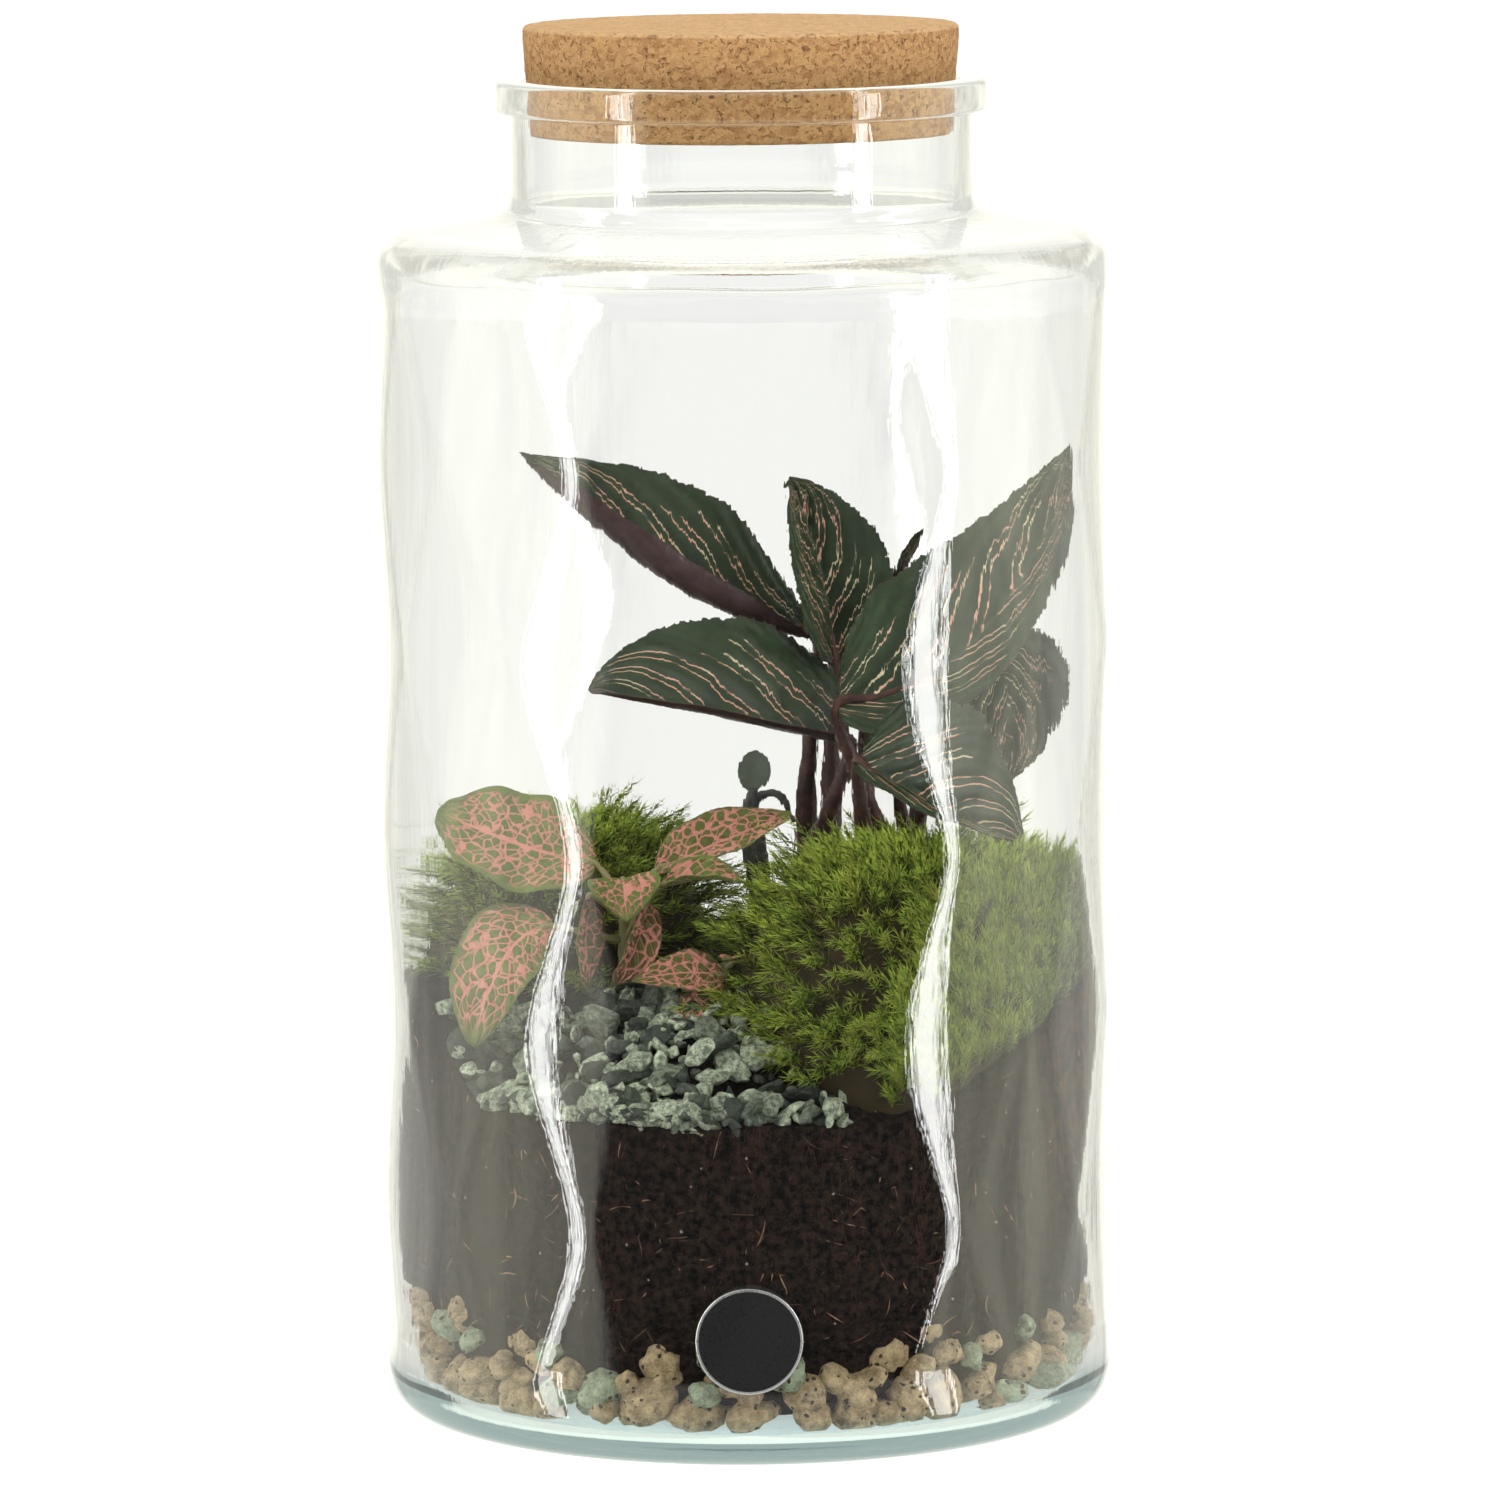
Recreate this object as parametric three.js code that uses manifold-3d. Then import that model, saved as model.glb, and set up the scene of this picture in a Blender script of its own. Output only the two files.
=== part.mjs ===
// A closed glass plant terrarium: a corked jar with a lozenge relief, filled with clay granules, soil,
// gravel, two moss cushions, a striped-leaf plant, a net-veined plant and a young shoot.
// Millimetres, +Z up. The origin is the middle of the jar's underside and -Y is the front.

import * as THREE from 'three';
import { mergeVertices } from 'three/addons/utils/BufferGeometryUtils.js';
import Module from 'manifold-3d';

const wasm = await Module();
wasm.setup();

// ---------------------------------------------------------------- driving dimensions

const GAP = 0.3; // clearance left between pieces that touch

const SIDES = 48; // facets round the jar, four for each lozenge

const GOLDEN_TURN = Math.PI * (3 - Math.sqrt(5)); // spreads repeats evenly over a surface

const JAR = {
  bodyRadius: 82.5,
  neckRadius: 52.3,
  rimRadius: 55.6,
  boreRadius: 49,
  height: 302.9,
  rimHeight: 7.3,
  shoulderEdgeZ: 267.6, // where the body's wall would meet the cone of the shoulder
  shoulderTopZ: 273.2, // where that cone would meet the neck
  wall: 3.5,
  base: 5.5,
  heelFillet: 11, // outside corner at the base
  floorFillet: 7.5, // inside corner at the base
  shoulderFillet: 6,
  neckFillet: 3.5,
  rimChamfer: 1.3,
};

const RELIEF = {
  depth: 0.36,
  columns: 12, // lozenges round the body
  height: 83.6, // of one lozenge
  lowestCentre: 18.6,
  turn: -40, // degrees from the front to the first column
};

const CORK = {
  topRadius: 49.3,
  seatRadius: 48.6, // at the mouth of the jar
  bottomRadius: 47.7,
  topZ: 315.1,
  bottomZ: 290.6,
  edge: 1.4,
  sides: 32,
};

const LABEL = { radius: 12, thickness: 0.45, centreZ: 29.5, sides: 24 };

const GRANULES = {
  perRing: 26,
  ringHeights: [11.5, 19],
  size: 6.5,
  bedRadius: 71,
  topZ: 25.4,
};

// The surface falls towards the front wall between two angles from the front, in degrees.
const SOIL = {
  bottomZ: 25.8,
  topZ: 100.5,
  fall: 24.5, // at the front wall
  fallStart: 34, // the radius where it starts to fall
  fallLeft: [-65, -47],
  fallRight: [22, 78],
  ringRadii: [24, 40, 54, 67], // then the wall
  sides: 36,
  stemDepth: 9, // how far a stem stands in the soil
};

const GRAVEL = {
  x: -23,
  y: -58,
  length: 48, // half of it
  width: 21, // half of it
  turn: -22,
  rise: 4,
  chips: 72,
  smallest: 3.4,
  largest: 6.4,
  clearOfWall: 4,
};

const MOSS_RIGHT = {
  x: 41,
  y: -34,
  radiusX: 45,
  radiusY: 38,
  foot: 82,
  top: 129,
  fullness: 3.4,
  needles: 96,
  seed: 31,
};

const MOSS_LEFT = {
  x: -41,
  y: 8,
  radiusX: 35,
  radiusY: 34,
  foot: 84,
  top: 129,
  fullness: 4,
  needles: 64,
  seed: 47,
};

const NEEDLE = { length: 9, sunk: 2.2, width: 1.5 };

const BLADE_THICKNESS = 0.7;

const WAVES = 2.5; // along each margin of a blade

// Striped leaves. root: where the petiole enters the soil. base, bend, tip: the midrib. side: across the
// blade, to its right half. Of the left and the right half, share: how wide it is, of the half-width;
// fold and curl: how far it turns up, at the midrib and over its width.
const CALATHEA = [
  {
    root: [13, 22], base: [16, 16, 174], bend: [-20, 12, 184], tip: [-50.5, 8, 218],
    side: [0.5, 0.55, 0.86], halfWidth: 25, widest: 0.5, share: [0.58, 1],
    fold: [0.45, 0.05], curl: [2.6, -0.3],
  },
  {
    root: [9, 12], base: [24, 7.5, 151], bend: [-4, -16, 162], tip: [-35, -30, 168],
    side: [0.1, 0.47, 0.9], halfWidth: 25, widest: 0.38, share: [0.5, 1], fullness: 0.5,
    fold: [0.8, 0.05], curl: [0.9, -0.3],
  },
  {
    root: [19, 17], base: [20.5, 14, 168], bend: [19, 15, 190], tip: [10.5, 20, 211],
    side: [0.96, -0.15, 0.2], halfWidth: 17, widest: 0.42, fullness: 0.6,
    fold: [1.25, 0.1], curl: [0.2, -0.2],
  },
  {
    root: [27, 25], base: [28, 20, 166], bend: [33, 21, 182], tip: [41.5, 24, 198.5],
    side: [0.9, -0.3, -0.3], halfWidth: 5, widest: 0.5, fold: [1, 1], curl: [0.6, 0.6],
  },
  {
    root: [37, 1], base: [21, -12, 162], bend: [60, -17, 167], tip: [74.5, -10, 221],
    side: [0.62, -0.45, -0.65], halfWidth: 26, widest: 0.36, share: [1, 0.55], fullness: 0.55,
    fold: [0.05, 0.25], curl: [-0.2, 0.3],
  },
  {
    root: [35, 18], base: [47, 4, 171], bend: [66, -1, 174], tip: [58, -9, 143],
    side: [-1, 0.2, 0], halfWidth: 14.5, widest: 0.48, fullness: 0.6, fold: [0.1, 0.1], curl: [-0.1, 0.1],
  },
  {
    root: [29, -5], base: [25, -18, 150], bend: [39, -30, 143], tip: [60.5, -42, 134.5],
    side: [-0.3, -0.9, -0.3], halfWidth: 25, widest: 0.46, share: [1, 0.35], fullness: 0.5,
    fold: [1.35, 0.1], curl: [-0.15, 0.2],
  },
  {
    root: [42, 8], base: [34.5, -3, 140], bend: [33, -6, 151], tip: [31, -8, 162],
    side: [-0.95, 0.1, 0], halfWidth: 14, widest: 0.5, share: [1, 0.65], fold: [0.3, 0.3], curl: [0.4, 0.4],
  },
];

// Net-veined leafy stems. path: the stem above its root. from: where a leaf's stalk leaves the stem.
const FITTONIA_LEFT = {
  root: [-27, -36],
  path: [[-27.5, -35.5, 110], [-28, -35, 124]],
  leaves: [
    {
      from: [-28, -35, 122], base: [-34, -32, 129], bend: [-50, -33, 132], tip: [-68.5, -30, 141],
      side: [0.25, 0.7, 0.7], halfWidth: 13, widest: 0.5, fullness: 0.5,
      fold: [0.2, 0.2], curl: [-0.2, 0.1], wave: 0.1,
    },
    {
      from: [-27.6, -35.5, 112], base: [-42.5, -42, 116.5], bend: [-55, -45, 116.5], tip: [-60, -47, 90],
      side: [-0.75, 0.58, 0.5], halfWidth: 13.5, widest: 0.48, share: [0.6, 1], fullness: 0.6,
      fold: [0.1, 0.1], curl: [-0.4, -0.4], wave: 0.05,
    },
    {
      from: [-28, -35.3, 120], base: [-27.5, -37.5, 126], bend: [-27, -43, 126.5], tip: [-26.6, -47, 118],
      side: [-1, -0.1, -0.1], halfWidth: 8.5, widest: 0.4, fold: [0.2, 0.2], curl: [0.1, 0.1],
    },
    {
      from: [-27.8, -35.2, 118], base: [-20.5, -31, 127], bend: [-6, -27, 133], tip: [10.5, -20, 138.5],
      side: [0.2, -0.75, -0.6], halfWidth: 9.5, widest: 0.45, fold: [0.1, 0.4], curl: [0, 0.3],
    },
    {
      from: [-27.8, -35.5, 116], base: [-19.5, -38, 124.5], bend: [-10, -40, 128.5], tip: [-0.5, -42, 126],
      side: [0, -0.95, -0.2], halfWidth: 6, widest: 0.45, fold: [0.5, 0.3], curl: [0.3, 0.3],
    },
    {
      from: [-27.9, -35.4, 117], base: [-34.5, -39, 123], bend: [-36.5, -42, 115], tip: [-35.5, -43, 102],
      side: [-0.5, -0.8, -0.1], halfWidth: 5.5, widest: 0.5, fold: [0.2, 0.2], curl: [0.1, 0.1], columns: 2,
    },
    {
      from: [-27.6, -35.6, 112], base: [-22, -38, 122], bend: [-23, -42, 113], tip: [-30, -44, 103],
      side: [-0.8, -0.5, 0.1], halfWidth: 5.5, widest: 0.5, fold: [0.6, 0.6], curl: [0.2, 0.2], columns: 2,
    },
  ],
};

const FITTONIA_RIGHT = {
  root: [-6, -36],
  path: [[-5.5, -37, 104], [-4.5, -39, 107]],
  leaves: [
    {
      from: [-5.2, -37.6, 105], base: [-5, -43, 105], bend: [-13, -47, 107.5], tip: [-25.5, -49, 105],
      side: [-0.1, 0.7, 0.6], halfWidth: 6.5, widest: 0.35, fold: [0.2, 0.1], curl: [0, 0],
    },
    {
      from: [-5.4, -37.4, 104], base: [-5, -44, 101.5], bend: [-10, -49, 101], tip: [-15.5, -52.5, 95.5],
      side: [-0.65, 0.42, 0.56], halfWidth: 5, widest: 0.45, fold: [0.15, 0.15], curl: [0, 0],
    },
    {
      from: [-4.6, -38.8, 106], base: [-2.5, -42, 108.5], bend: [-2, -46, 109.5], tip: [-5, -51, 110],
      side: [-1, -0.2, 0], halfWidth: 3.5, widest: 0.45, fold: [0.3, 0.3], curl: [0, 0], columns: 2,
    },
  ],
};

// The dark young shoot: a sheathed stalk with one small round leaf and one arching side stalk.
const SHOOT = {
  root: [3.5, -2],
  stalk: [[3.5, -2, 112], [2.5, -2, 124], [1, -2, 136], [1.8, -2, 142]],
  stalkRadii: [2.4, 2.4, 2.6, 2.9, 2.2, 0.9],
  arch: [[1.2, -2, 137], [4, -2.5, 140.5], [8, -3, 140], [11, -3.5, 134]],
  leaf: {
    base: [1.6, -2, 141], bend: [1.5, -2.5, 146], tip: [2.8, -2, 150.4],
    side: [0.95, -0.2, 0], halfWidth: 3.7, widest: 0.5, fullness: 0.5,
    fold: [0.1, 0.1], curl: [0.2, 0.2],
  },
};

// ---------------------------------------------------------------- small helpers

const group = new THREE.Group();

function seededRandom(seed) {
  let state = seed >>> 0;
  return () => {
    state = (state + 0x6d2b79f5) >>> 0;
    let mixed = Math.imul(state ^ (state >>> 15), state | 1);
    mixed ^= mixed + Math.imul(mixed ^ (mixed >>> 7), mixed | 61);
    return ((mixed ^ (mixed >>> 14)) >>> 0) / 4294967296;
  };
}

// A closed geometry as a solid for joining and cutting. Faces turned inwards are turned round.
function solid(geometry) {
  const bare = geometry.index ? geometry.toNonIndexed() : geometry.clone();
  bare.deleteAttribute('normal');
  bare.deleteAttribute('uv');
  const merged = mergeVertices(bare, 1e-4);
  const corners = merged.index.array;
  const kept = [];
  for (let i = 0; i < corners.length; i += 3) {
    const [a, b, c] = [corners[i], corners[i + 1], corners[i + 2]];
    if (a !== b && b !== c && c !== a) {
      kept.push(a, b, c);
    }
  }
  const vertProperties = new Float32Array(merged.attributes.position.array);
  const build = (triVerts) => new wasm.Manifold(new wasm.Mesh({ numProp: 3, vertProperties, triVerts }));
  const body = build(new Uint32Array(kept));
  if (body.volume() > 0) {
    return body;
  }
  const turned = new Uint32Array(kept);
  for (let i = 0; i < turned.length; i += 3) {
    [turned[i + 1], turned[i + 2]] = [turned[i + 2], turned[i + 1]];
  }
  return build(turned);
}

function union(parts) {
  return parts.reduce((joined, part) => joined.add(part));
}

// The largest connected piece of a solid, without the loose scraps that a cut can leave.
function largestPiece(body) {
  const pieces = body.decompose();
  return pieces.reduce((best, piece) => (piece.volume() > best.volume() ? piece : best));
}

function addPiece(name, body, material) {
  const { vertProperties, triVerts, numProp } = largestPiece(body).getMesh();
  const positions = new Float32Array((vertProperties.length / numProp) * 3);
  for (let i = 0; i < positions.length / 3; i += 1) {
    positions.set(vertProperties.subarray(i * numProp, i * numProp + 3), i * 3);
  }
  const geometry = new THREE.BufferGeometry();
  geometry.setAttribute('position', new THREE.BufferAttribute(positions, 3));
  geometry.setIndex(new THREE.BufferAttribute(new Uint32Array(triVerts), 1));
  geometry.computeVertexNormals();
  const mesh = new THREE.Mesh(geometry, material);
  mesh.name = name;
  group.add(mesh);
}

function surfaceMaterial(color, roughness, metalness = 0) {
  return new THREE.MeshStandardMaterial({ color, roughness, metalness });
}

// A closed surface between two grids of points with the same rows and columns, each split alike.
function closedSheet(front, back) {
  const rows = front.length;
  const columns = front[0].length;
  const points = [...front.flat(), ...back.flat()];
  const offset = rows * columns;
  const index = [];
  const at = (row, column) => row * columns + column;
  for (let r = 0; r + 1 < rows; r += 1) {
    for (let c = 0; c + 1 < columns; c += 1) {
      const [p, q, s, t] = [at(r, c), at(r, c + 1), at(r + 1, c + 1), at(r + 1, c)];
      index.push(p, q, s, p, s, t);
      index.push(offset + p, offset + s, offset + q, offset + p, offset + t, offset + s);
    }
  }
  const rim = [];
  for (let c = 0; c + 1 < columns; c += 1) {
    rim.push([at(0, c), at(0, c + 1)], [at(rows - 1, c + 1), at(rows - 1, c)]);
  }
  for (let r = 0; r + 1 < rows; r += 1) {
    rim.push([at(r, columns - 1), at(r + 1, columns - 1)], [at(r + 1, 0), at(r, 0)]);
  }
  for (const [p, q] of rim) {
    index.push(p, offset + p, q, q, offset + p, offset + q);
  }
  const geometry = new THREE.BufferGeometry().setFromPoints(points);
  geometry.setIndex(index);
  return solid(geometry);
}

// A closed solid over a star-shaped plan round a centre, with a shaped top and a flat bottom.
function moundSolid({ x, y, reach, shares, sides, top, bottomZ }) {
  const points = [new THREE.Vector3(x, y, top(x, y)), new THREE.Vector3(x, y, bottomZ)];
  const index = [];
  const ringPoint = (share, i) => {
    const angle = (2 * Math.PI * i) / sides;
    const radius = share * reach(angle);
    return [x + radius * Math.sin(angle), y - radius * Math.cos(angle)];
  };
  for (const share of shares) {
    for (let i = 0; i < sides; i += 1) {
      const [px, py] = ringPoint(share, i);
      points.push(new THREE.Vector3(px, py, top(px, py)));
    }
  }
  const outer = shares[shares.length - 1];
  for (let i = 0; i < sides; i += 1) {
    points.push(new THREE.Vector3(...ringPoint(outer, i), bottomZ));
  }
  const at = (ring, i) => 2 + ring * sides + (i % sides);
  for (let i = 0; i < sides; i += 1) {
    index.push(0, at(0, i), at(0, i + 1));
    for (let ring = 0; ring < shares.length; ring += 1) {
      const [a, b, c, d] = [at(ring, i), at(ring, i + 1), at(ring + 1, i + 1), at(ring + 1, i)];
      index.push(a, d, c, a, c, b);
    }
    index.push(1, at(shares.length, i + 1), at(shares.length, i));
  }
  const geometry = new THREE.BufferGeometry().setFromPoints(points);
  geometry.setIndex(index);
  return solid(geometry);
}

// A closed round rod through a list of points, with a radius at each, by parallel transport.
function rod(points, radii, sides) {
  const rings = [];
  const first = points[1].clone().sub(points[0]).normalize();
  let across = new THREE.Vector3(1, 0, 0).addScaledVector(first, -first.x);
  if (across.length() < 0.2) {
    across = new THREE.Vector3(0, 1, 0).addScaledVector(first, -first.y);
  }
  points.forEach((point, k) => {
    const before = points[Math.max(k - 1, 0)];
    const after = points[Math.min(k + 1, points.length - 1)];
    const along = after.clone().sub(before).normalize();
    across.addScaledVector(along, -across.dot(along)).normalize();
    const up = along.clone().cross(across);
    rings.push(
      Array.from({ length: sides }, (_, i) => {
        const angle = (2 * Math.PI * i) / sides;
        return point
          .clone()
          .addScaledVector(across, radii[k] * Math.cos(angle))
          .addScaledVector(up, radii[k] * Math.sin(angle));
      }),
    );
  });
  const last = rings.length - 1;
  const all = [...rings.flat(), points[0], points[last]];
  const index = [];
  const at = (ring, i) => ring * sides + (i % sides);
  for (let i = 0; i < sides; i += 1) {
    for (let ring = 0; ring < last; ring += 1) {
      const [a, b, c, d] = [at(ring, i), at(ring, i + 1), at(ring + 1, i + 1), at(ring + 1, i)];
      index.push(a, b, c, a, c, d);
    }
    index.push(all.length - 2, at(0, i + 1), at(0, i), all.length - 1, at(last, i), at(last, i + 1));
  }
  const geometry = new THREE.BufferGeometry().setFromPoints(all);
  geometry.setIndex(index);
  return solid(geometry);
}

// ---------------------------------------------------------------- the jar

// A turned solid from a profile of (radius, height) points that starts and ends on the axis.
function turned(path, divisions = 2, sides = SIDES) {
  const geometry = new THREE.LatheGeometry(path.getPoints(divisions), sides);
  geometry.rotateX(Math.PI / 2);
  return geometry;
}

function reliefAt(angle, z) {
  const column = Math.cos(RELIEF.columns * (angle - THREE.MathUtils.degToRad(RELIEF.turn)));
  const row = Math.cos((2 * Math.PI * (z - RELIEF.lowestCentre)) / RELIEF.height);
  return RELIEF.depth * column * row;
}

// The height of the shoulder's cone at a radius, on the outside.
function shoulderZ(radius) {
  const share = (JAR.bodyRadius - radius) / (JAR.bodyRadius - JAR.neckRadius);
  return JAR.shoulderEdgeZ + share * (JAR.shoulderTopZ - JAR.shoulderEdgeZ);
}

// The inside of the jar up to its shoulder, drawn in from the glass by an inset.
function drawInside(path, inset) {
  const radius = JAR.bodyRadius - JAR.wall - inset;
  const floor = JAR.base + inset;
  const fillet = JAR.floorFillet;
  path.moveTo(0, floor);
  path.lineTo(radius - fillet, floor);
  path.quadraticCurveTo(radius, floor, radius, floor + fillet);
  return radius;
}

function jarGeometry() {
  const { bodyRadius, neckRadius, rimRadius, boreRadius, height, rimHeight } = JAR;
  const { heelFillet, shoulderFillet, neckFillet, rimChamfer, wall } = JAR;
  const rimZ = height - rimHeight;
  const innerRadius = bodyRadius - wall;
  const outside = new THREE.Path();
  outside.moveTo(0, 0);
  outside.lineTo(bodyRadius - heelFillet, 0);
  outside.quadraticCurveTo(bodyRadius, 0, bodyRadius, heelFillet);
  const wallTop = JAR.shoulderEdgeZ - shoulderFillet;
  for (let z = RELIEF.lowestCentre; z < wallTop - 10; z += RELIEF.height / 2) {
    outside.lineTo(bodyRadius, z);
  }
  outside.lineTo(bodyRadius, wallTop);
  const coneStart = bodyRadius - shoulderFillet;
  outside.quadraticCurveTo(bodyRadius, JAR.shoulderEdgeZ, coneStart, shoulderZ(coneStart));
  const coneEnd = neckRadius + neckFillet;
  outside.lineTo(coneEnd, shoulderZ(coneEnd));
  outside.lineTo(neckRadius, JAR.shoulderTopZ + neckFillet);
  outside.lineTo(neckRadius, rimZ);
  outside.lineTo(rimRadius - rimChamfer, rimZ);
  outside.lineTo(rimRadius, rimZ + rimChamfer);
  outside.lineTo(rimRadius, height - rimChamfer);
  outside.lineTo(rimRadius - rimChamfer, height);
  outside.lineTo(boreRadius + rimChamfer, height);
  outside.lineTo(boreRadius, height - rimChamfer);
  const innerCone = (radius) => shoulderZ(radius) - wall;
  outside.lineTo(boreRadius, innerCone(boreRadius) + neckFillet);
  outside.lineTo(boreRadius + neckFillet, innerCone(boreRadius + neckFillet));
  outside.lineTo(innerRadius - shoulderFillet, innerCone(innerRadius - shoulderFillet));
  outside.quadraticCurveTo(innerRadius, innerCone(innerRadius), innerRadius, wallTop - wall);
  outside.lineTo(innerRadius, JAR.base + JAR.floorFillet);
  outside.quadraticCurveTo(innerRadius, JAR.base, innerRadius - JAR.floorFillet, JAR.base);
  outside.lineTo(0, JAR.base);
  const geometry = turned(outside);
  const position = geometry.attributes.position;
  for (let i = 0; i < position.count; i += 1) {
    const [x, y, z] = [position.getX(i), position.getY(i), position.getZ(i)];
    const radius = Math.hypot(x, y);
    if (radius > bodyRadius - 0.1 && z > heelFillet + 1 && z < wallTop - 1) {
      const scale = 1 + reliefAt(Math.atan2(x, -y), z) / radius;
      position.setXY(i, x * scale, y * scale);
    }
  }
  return geometry;
}

// All the room for what fills the jar, clear of the glass.
function fillingSpace() {
  const path = new THREE.Path();
  const radius = drawInside(path, GAP);
  path.lineTo(radius, JAR.shoulderEdgeZ - JAR.shoulderFillet - JAR.wall);
  path.lineTo(0, JAR.shoulderEdgeZ - JAR.shoulderFillet - JAR.wall);
  return solid(turned(path));
}

function corkGeometry() {
  const { topRadius, seatRadius, bottomRadius, topZ, bottomZ, edge } = CORK;
  const path = new THREE.Path();
  path.moveTo(0, bottomZ);
  path.lineTo(bottomRadius - edge, bottomZ);
  path.quadraticCurveTo(bottomRadius, bottomZ, bottomRadius, bottomZ + edge);
  path.lineTo(seatRadius, JAR.height);
  path.lineTo(topRadius, topZ - edge);
  path.quadraticCurveTo(topRadius, topZ, topRadius - edge, topZ);
  path.lineTo(0, topZ);
  return turned(path, 2, CORK.sides);
}

// A round label bent to the wall: each ring of points is wrapped onto the jar, with its relief.
function labelSolid() {
  const points = [];
  const index = [];
  const wrap = (across, up, lift) => {
    const angle = across / JAR.bodyRadius;
    const z = LABEL.centreZ + up;
    const radius = JAR.bodyRadius + reliefAt(angle, z) + lift;
    return new THREE.Vector3(radius * Math.sin(angle), -radius * Math.cos(angle), z);
  };
  const inner = GAP;
  const outer = GAP + LABEL.thickness;
  points.push(wrap(0, 0, outer), wrap(0, 0, inner));
  for (const share of [0.55, 1]) {
    for (let i = 0; i < LABEL.sides; i += 1) {
      const angle = (2 * Math.PI * i) / LABEL.sides;
      const across = share * LABEL.radius * Math.sin(angle);
      const up = share * LABEL.radius * Math.cos(angle);
      points.push(wrap(across, up, outer), wrap(across, up, inner));
    }
  }
  const at = (ring, i) => 2 + 2 * (ring * LABEL.sides + (i % LABEL.sides));
  for (let i = 0; i < LABEL.sides; i += 1) {
    const [a, b, c, d] = [at(0, i), at(0, i + 1), at(1, i + 1), at(1, i)];
    index.push(0, a, b, a, d, c, a, c, b);
    index.push(1, b + 1, a + 1, a + 1, c + 1, d + 1, a + 1, b + 1, c + 1);
    index.push(d, d + 1, c + 1, d, c + 1, c);
  }
  const geometry = new THREE.BufferGeometry().setFromPoints(points);
  geometry.setIndex(index);
  return solid(geometry);
}

// ---------------------------------------------------------------- granules, soil and gravel

// A stone: a twenty-sided body with uneven corners, turned at random about the origin.
function stoneGeometry(size, flatness, random) {
  const geometry = new THREE.IcosahedronGeometry(1, 0);
  const merged = mergeVertices(geometry.deleteAttribute('normal').deleteAttribute('uv'), 1e-4);
  const position = merged.attributes.position;
  const turn = new THREE.Euler(random() * Math.PI, random() * Math.PI, random() * Math.PI);
  const length = 0.85 + 0.3 * random();
  for (let i = 0; i < position.count; i += 1) {
    const corner = new THREE.Vector3().fromBufferAttribute(position, i);
    corner.multiplyScalar(size * (0.86 + 0.28 * random()));
    corner.multiply(new THREE.Vector3(length, 1 / length, flatness)).applyEuler(turn);
    position.setXYZ(i, corner.x, corner.y, corner.z);
  }
  return merged;
}

// Clay granules: two rings lie against the wall, each stone pushed out until it all but touches the
// glass, round a bed that fills the middle.
function granuleBed() {
  const random = seededRandom(7);
  const { perRing, ringHeights, size, bedRadius, topZ } = GRANULES;
  const floor = JAR.base + GAP;
  const bed = new THREE.Path();
  bed.moveTo(0, floor);
  bed.lineTo(bedRadius - 4, floor);
  bed.lineTo(bedRadius, floor + 4);
  bed.lineTo(bedRadius, topZ);
  bed.lineTo(0, topZ);
  const parts = [solid(turned(bed, 1, 24))];
  ringHeights.forEach((z, ring) => {
    for (let i = 0; i < perRing; i += 1) {
      const angle = (2 * Math.PI * (i + 0.5 * ring + 0.3 * (random() - 0.5))) / perRing;
      const geometry = stoneGeometry(size * (0.9 + 0.2 * random()), 0.85, random);
      geometry.rotateZ(-angle);
      geometry.computeBoundingBox();
      const { min, max } = geometry.boundingBox;
      const height = Math.min(Math.max(z + random(), floor + 0.6 - min.z), topZ - max.z);
      const reach = Math.hypot(max.y, Math.max(max.x, -min.x)) + 0.6;
      geometry.translate(0, JAR.bodyRadius - JAR.wall - reach, height);
      geometry.rotateZ(angle + Math.PI);
      parts.push(solid(geometry));
    }
  });
  return union(parts);
}

function soilTop(x, y) {
  const { smoothstep, radToDeg } = THREE.MathUtils;
  const angle = radToDeg(Math.atan2(x, -y));
  const left = smoothstep(angle, ...SOIL.fallLeft);
  const right = 1 - smoothstep(angle, ...SOIL.fallRight);
  const down = smoothstep(Math.hypot(x, y), SOIL.fallStart, JAR.bodyRadius);
  const waves = 0.8 * Math.sin(0.17 * x + 0.6) * Math.cos(0.15 * y);
  return SOIL.topZ - SOIL.fall * left * right * down + waves;
}

function soilBody() {
  const radius = JAR.bodyRadius - JAR.wall - GAP;
  return moundSolid({
    x: 0,
    y: 0,
    reach: () => radius,
    shares: [...SOIL.ringRadii.map((ring) => ring / radius), 1],
    sides: SOIL.sides,
    top: soilTop,
    bottomZ: SOIL.bottomZ,
  });
}

// The soil's shape, raised by a gap and carried past the wall, to cut what rests on it.
function soilCutter() {
  const radius = JAR.bodyRadius - JAR.wall - GAP;
  const top = (x, y) => {
    const share = Math.min(1, radius / Math.max(1, Math.hypot(x, y)));
    return soilTop(x * share, y * share) + GAP + 0.05;
  };
  return moundSolid({
    x: 0,
    y: 0,
    reach: () => radius,
    shares: [...SOIL.ringRadii.map((ring) => ring / radius), 1, 1.1],
    sides: SOIL.sides,
    top,
    bottomZ: 0,
  });
}

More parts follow.
